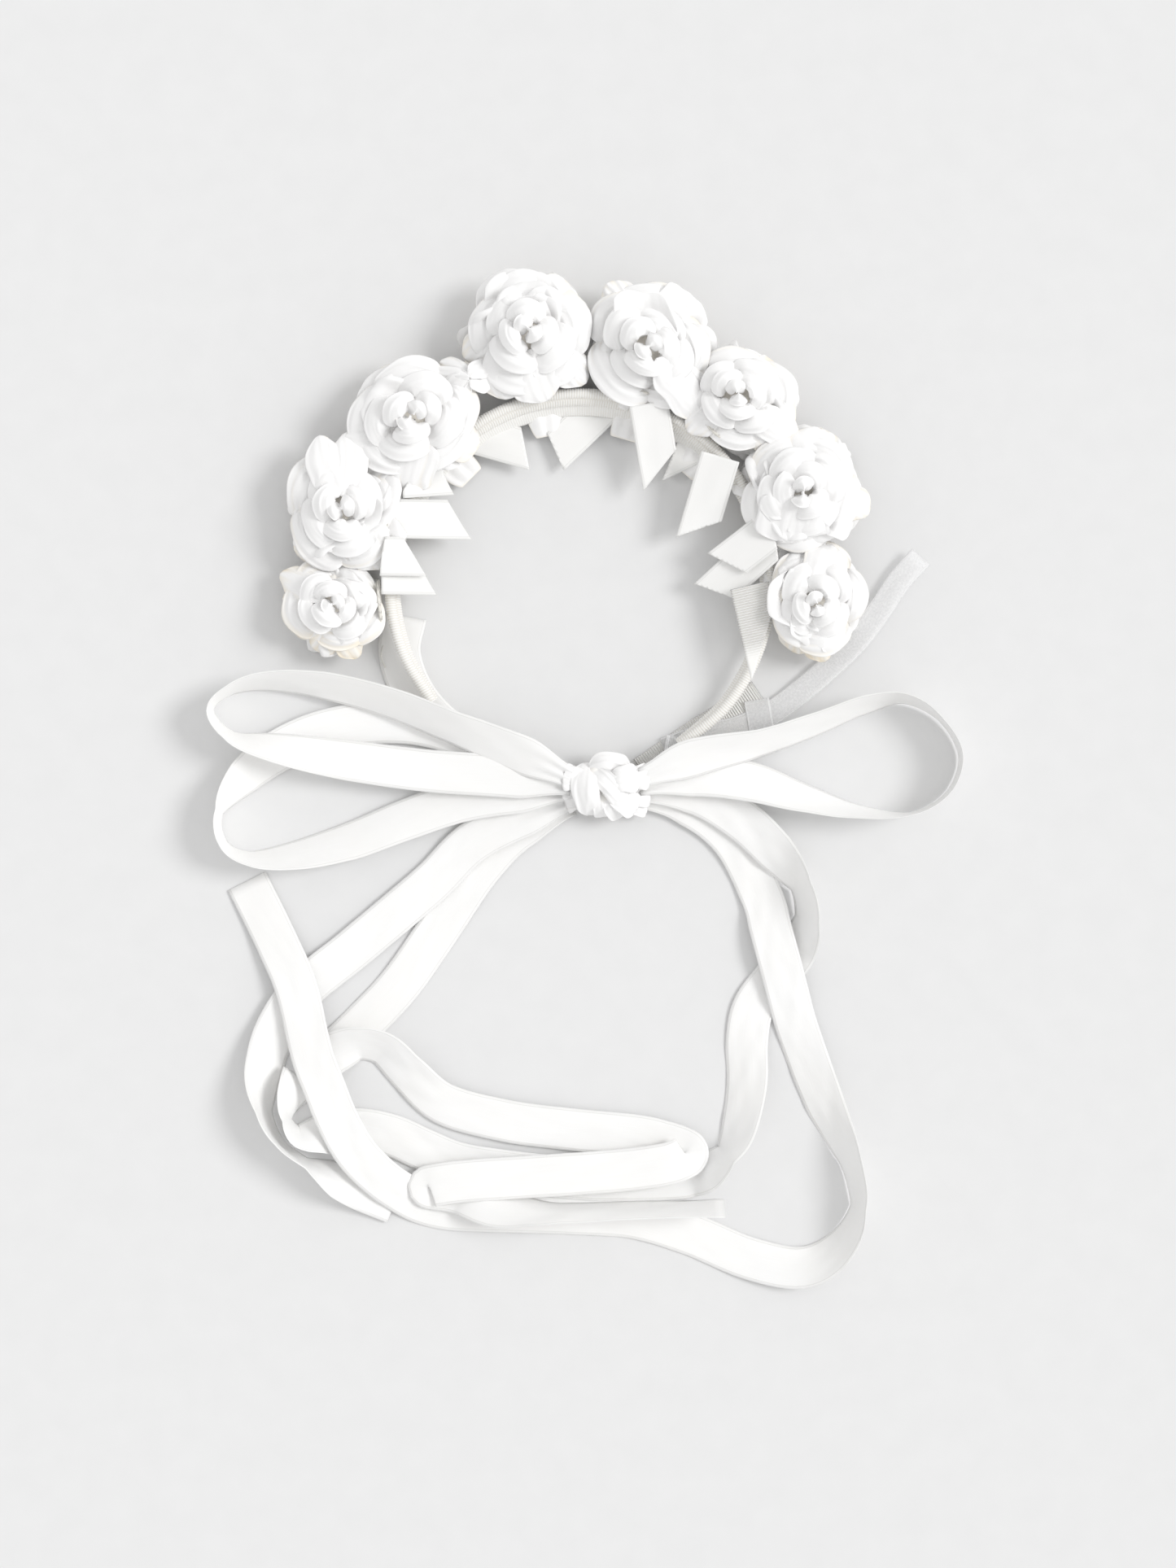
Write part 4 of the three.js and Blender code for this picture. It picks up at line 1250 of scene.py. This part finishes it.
def add_scrap(name, share_x, share_y, width, length, turn, height, offset):
    low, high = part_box("strap_right")
    middle = Vector((lerp(low.x, high.x, share_x), lerp(low.y, high.y, share_y), height))
    side = heading(turn)
    along = left_of(side)
    rows = []
    for i in range(SCRAP_CELLS + 1):
        row = []
        for j in range(SCRAP_CELLS + 1):
            point = middle + side * width * (j / SCRAP_CELLS - 0.5) + along * length * (i / SCRAP_CELLS - 0.5)
            point.z += 0.0009 * noise.noise(Vector((point.x * 90, point.y * 90, offset)))
            row.append(point)
        rows.append(row)
    mesh = grid_mesh(name, rows, lambda i, j: (i / SCRAP_CELLS * length, j / SCRAP_CELLS * ORGANZA_WIDTH))
    scrap = add_object(name, mesh, ORGANZA)
    thicken(scrap, ORGANZA_THICK)


for scrap_index, (scrap_name, scrap_place) in enumerate(SCRAPS.items()):
    add_scrap(scrap_name, *scrap_place, 3.3 * scrap_index)

# ---- spring strip and felt pads ----

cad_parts["band_core"].data.materials.clear()
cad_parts["band_core"].data.materials.append(core_material())

PAD_HALF = 0.00075             # half a pad's thickness
PAD_SIDES = 48
STITCHES = 18
STITCH_TURN = 0.12             # how far each stitch slants round the rim, in radians
STITCH_RADIUS = 0.00017

# A pad's section, as (share of its radius, share of half its thickness)
PAD_SECTION = [(0.02, -1), (0.6, -1), (0.93, -0.85), (1.0, -0.3), (1.0, 0.3), (0.93, 0.85), (0.6, 1),
               (0.02, 1)]


# A felt pad that stands upright between a rose and the band, with a ring of stitches over its rim
def add_pad(name):
    low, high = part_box(name)
    middle = (low + high) / 2
    outward = (middle - Vector((*RING_CENTRE, middle.z))).normalized()
    sideways = left_of(outward)
    radius = (high.z - low.z) / 2

    def spot(a):
        return sideways * math.cos(a) + UP * math.sin(a)

    rows = []
    for share, push in PAD_SECTION:
        row = []
        for k in range(PAD_SIDES):
            a = 2 * math.pi * k / PAD_SIDES
            fray = 1 + 0.012 * math.sin(17 * a) + 0.008 * math.sin(29 * a + 1)
            row.append(middle + spot(a) * (share * radius * fray) + outward * (PAD_HALF * push))
        rows.append(row)
    mesh = grid_mesh(name + "_felt", rows, lambda i, j: (j * 0.0014, i * 0.002), True)
    add_object(name + "_felt", mesh, FELT, [name])
    stitches = []
    proud = PAD_HALF + 0.0001
    for k in range(STITCHES):
        a = 2 * math.pi * k / STITCHES
        b = a + STITCH_TURN
        turns = [(a, 0.8, -proud), (a, 1.01, -PAD_HALF), (b, 1.03, 0), (b, 1.01, PAD_HALF), (b, 0.8, proud)]
        stitches.append([middle + spot(c) * (radius * share) + outward * push for c, share, push in turns])
    mesh = tubes_mesh(name + "_stitches", stitches, STITCH_RADIUS, 6)
    add_object(name + "_stitches", mesh, THREAD)


for rose_name in ROSES:
    add_pad(rose_name + "_pad")

# ---- thread stub ----

PLY_RADIUS = 0.00024
PLY_PITCH = 0.0016


# Two plies that twist round each other along the thread's box
def add_thread():
    low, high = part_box("thread_end")
    middle = (low + high) / 2
    route = [(middle.x, high.y, high.z, 0), (low.x, middle.y, middle.z, 0),
             (high.x, low.y, low.z + 0.0005, 0)]
    plies = []
    for ply in range(2):
        points = []
        for point, across, normal, run in follow(route, 24):
            a = math.pi * ply + run * 2 * math.pi / PLY_PITCH
            points.append(point + PLY_RADIUS * (across * math.cos(a) + normal * math.sin(a)))
        plies.append(points)
    mesh = tubes_mesh("thread_stub", plies, PLY_RADIUS, 8)
    add_object("thread_stub", mesh, THREAD, ["thread_end"])


add_thread()

# ---- knot ----

KNOT_SHADE_HEIGHT = -0.012             # height below which its creases are painted in full shade

# The folds of the knot, each a line of (x, y, z, width) points in mm from the middle of its
# box, with z from the table, and the height of its dome
KNOT_FOLDS = [
    (((-20.0, 5.5, 15.5, 13), (-14.0, 4.6, 15, 9), (-7.0, 3.0, 12, 6)), 2),
    (((-20.5, 1.5, 11, 13), (-14.0, 0.8, 12, 8), (-7.0, 0.0, 11, 5)), 2),
    (((-19.5, -6.0, 7, 12), (-13.5, -5.0, 9, 8), (-6.0, -3.5, 9, 5)), 2),
    (((20.5, 5.2, 14.5, 13), (14.0, 4.8, 15, 9), (6.0, 3.6, 13, 6)), 2),
    (((21.0, -3.0, 8, 12), (14.0, -3.6, 10, 9), (6.0, -3.0, 11, 5)), 2),
    (((20.0, -7.5, 5, 12), (14.0, -7.0, 8, 9), (6.0, -5.0, 10, 6)), 2),
    (((12.5, 8.0, 9, 4), (6.5, 10.6, 13, 9), (-1.0, 11.2, 14, 10), (-8.0, 8.5, 11, 6)), 3),
    (((1.0, 3.4, 15, 6), (7.0, 4.0, 18, 10), (15.5, 5.0, 16, 14)), 3),
    (((-1.5, -5.0, 14, 6), (-1.0, -9.5, 13, 9), (0.0, -13.4, 6, 10)), 2.5),
    (((0.5, -4.0, 15, 6), (4.5, -9.0, 14, 9), (8.0, -13.2, 7, 10)), 2.5),
    (((1.0, -2.0, 16, 6), (8.0, -6.0, 15.5, 10), (15.0, -9.6, 11, 12)), 2.5),
    (((-6.0, 8.5, 13, 6), (-1.0, 4.0, 18, 8), (4.5, -2.0, 18, 9), (9.5, -8.5, 14, 7)), 2),
    (((-8.0, 12.0, 7, 7), (-9.6, 6.0, 16, 10), (-9.4, -1.0, 18, 11), (-7.6, -8.0, 15, 10),
      (-6.2, -12.8, 7, 8)), 3),
]
KNOT_ROWS = 32
KNOT_SIDES = 64
KNOT_FILL = Vector((0.90, 0.92, 0.76))   # the body's share of the node's box


# Raises a number to a power and keeps its sign
def signed_power(value, power):
    return math.copysign(abs(value) ** power, value)


# A ridged, boxy body under the knot's folds
def add_knot():
    low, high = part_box("bow_knot")
    middle = (low + high) / 2
    size = (high - low) / 2 * KNOT_FILL

    def at(i, j):
        v = math.pi * (i / KNOT_ROWS - 0.5)
        a = 2 * math.pi * j / KNOT_SIDES
        ridge = 1 - 0.035 * (0.5 + 0.5 * math.sin(11 * a + 2 * math.sin(3 * v)))
        girth = math.cos(v) ** 0.5 * ridge if 0 < i < KNOT_ROWS else 0
        x = signed_power(math.cos(a), 0.7) * girth
        y = signed_power(math.sin(a), 0.7) * girth
        # Painted shade: the body gets one middling shaded tone all over
        return middle + Vector((x * size.x, y * size.y, signed_power(math.sin(v), 0.6) * size.z)), 0.5

    mesh = surface("knot_body", KNOT_ROWS + 1, KNOT_SIDES, at, lambda i, j: (j * 0.0012, i * 0.0012), True)
    add_object("knot_body", mesh, PETAL, ["bow_knot"])
    add_folds("bow_knot", KNOT_FOLDS, "bow_knot", [], KNOT_SHADE_HEIGHT)


add_knot()

# ---- floor and light ----

FLOOR_SIZE = 6.0
WORLD_STRENGTH = 0.78
SUN_STRENGTH = 1.30
SUN_ANGLE = 22                 # width of the sun in degrees, for soft shadows
SUN_PLACE = (1.6, 0.35, 1.5)   # it shines from here to the origin


def add_floor():
    material, tree, shader = new_material("paper_floor")
    grain = fibres(tree, None, 400.0, 2.0)
    colour = ramp(tree, grain, [(0.3, (0.80, 0.80, 0.80)), (0.7, (0.815, 0.815, 0.815))])
    dress(tree, shader, colour, Roughness=0.95, Specular_IOR_Level=0.1)
    half = FLOOR_SIZE / 2
    corners = [(-half, -half, 0), (half, -half, 0), (half, half, 0), (-half, half, 0)]
    mesh = new_mesh("floor", corners, [(0, 1, 2, 3)])
    mesh.materials.append(material)
    floor = bpy.data.objects.new("floor", mesh)
    bpy.context.scene.collection.objects.link(floor)


def add_world():
    world = bpy.data.worlds.new("studio")
    bpy.context.scene.world = world
    world.use_nodes = True
    background = world.node_tree.nodes["Background"]
    background.inputs["Color"].default_value = (1.0, 1.0, 1.0, 1)
    background.inputs["Strength"].default_value = WORLD_STRENGTH


def add_sun():
    data = bpy.data.lights.new("key", "SUN")
    data.energy = SUN_STRENGTH
    data.angle = math.radians(SUN_ANGLE)
    light = bpy.data.objects.new("key", data)
    light.location = SUN_PLACE
    light.rotation_euler = Vector(SUN_PLACE).to_track_quat("Z", "Y").to_euler()
    bpy.context.scene.collection.objects.link(light)


bpy.context.scene.view_settings.view_transform = "Standard"
add_floor()
add_world()
add_sun()
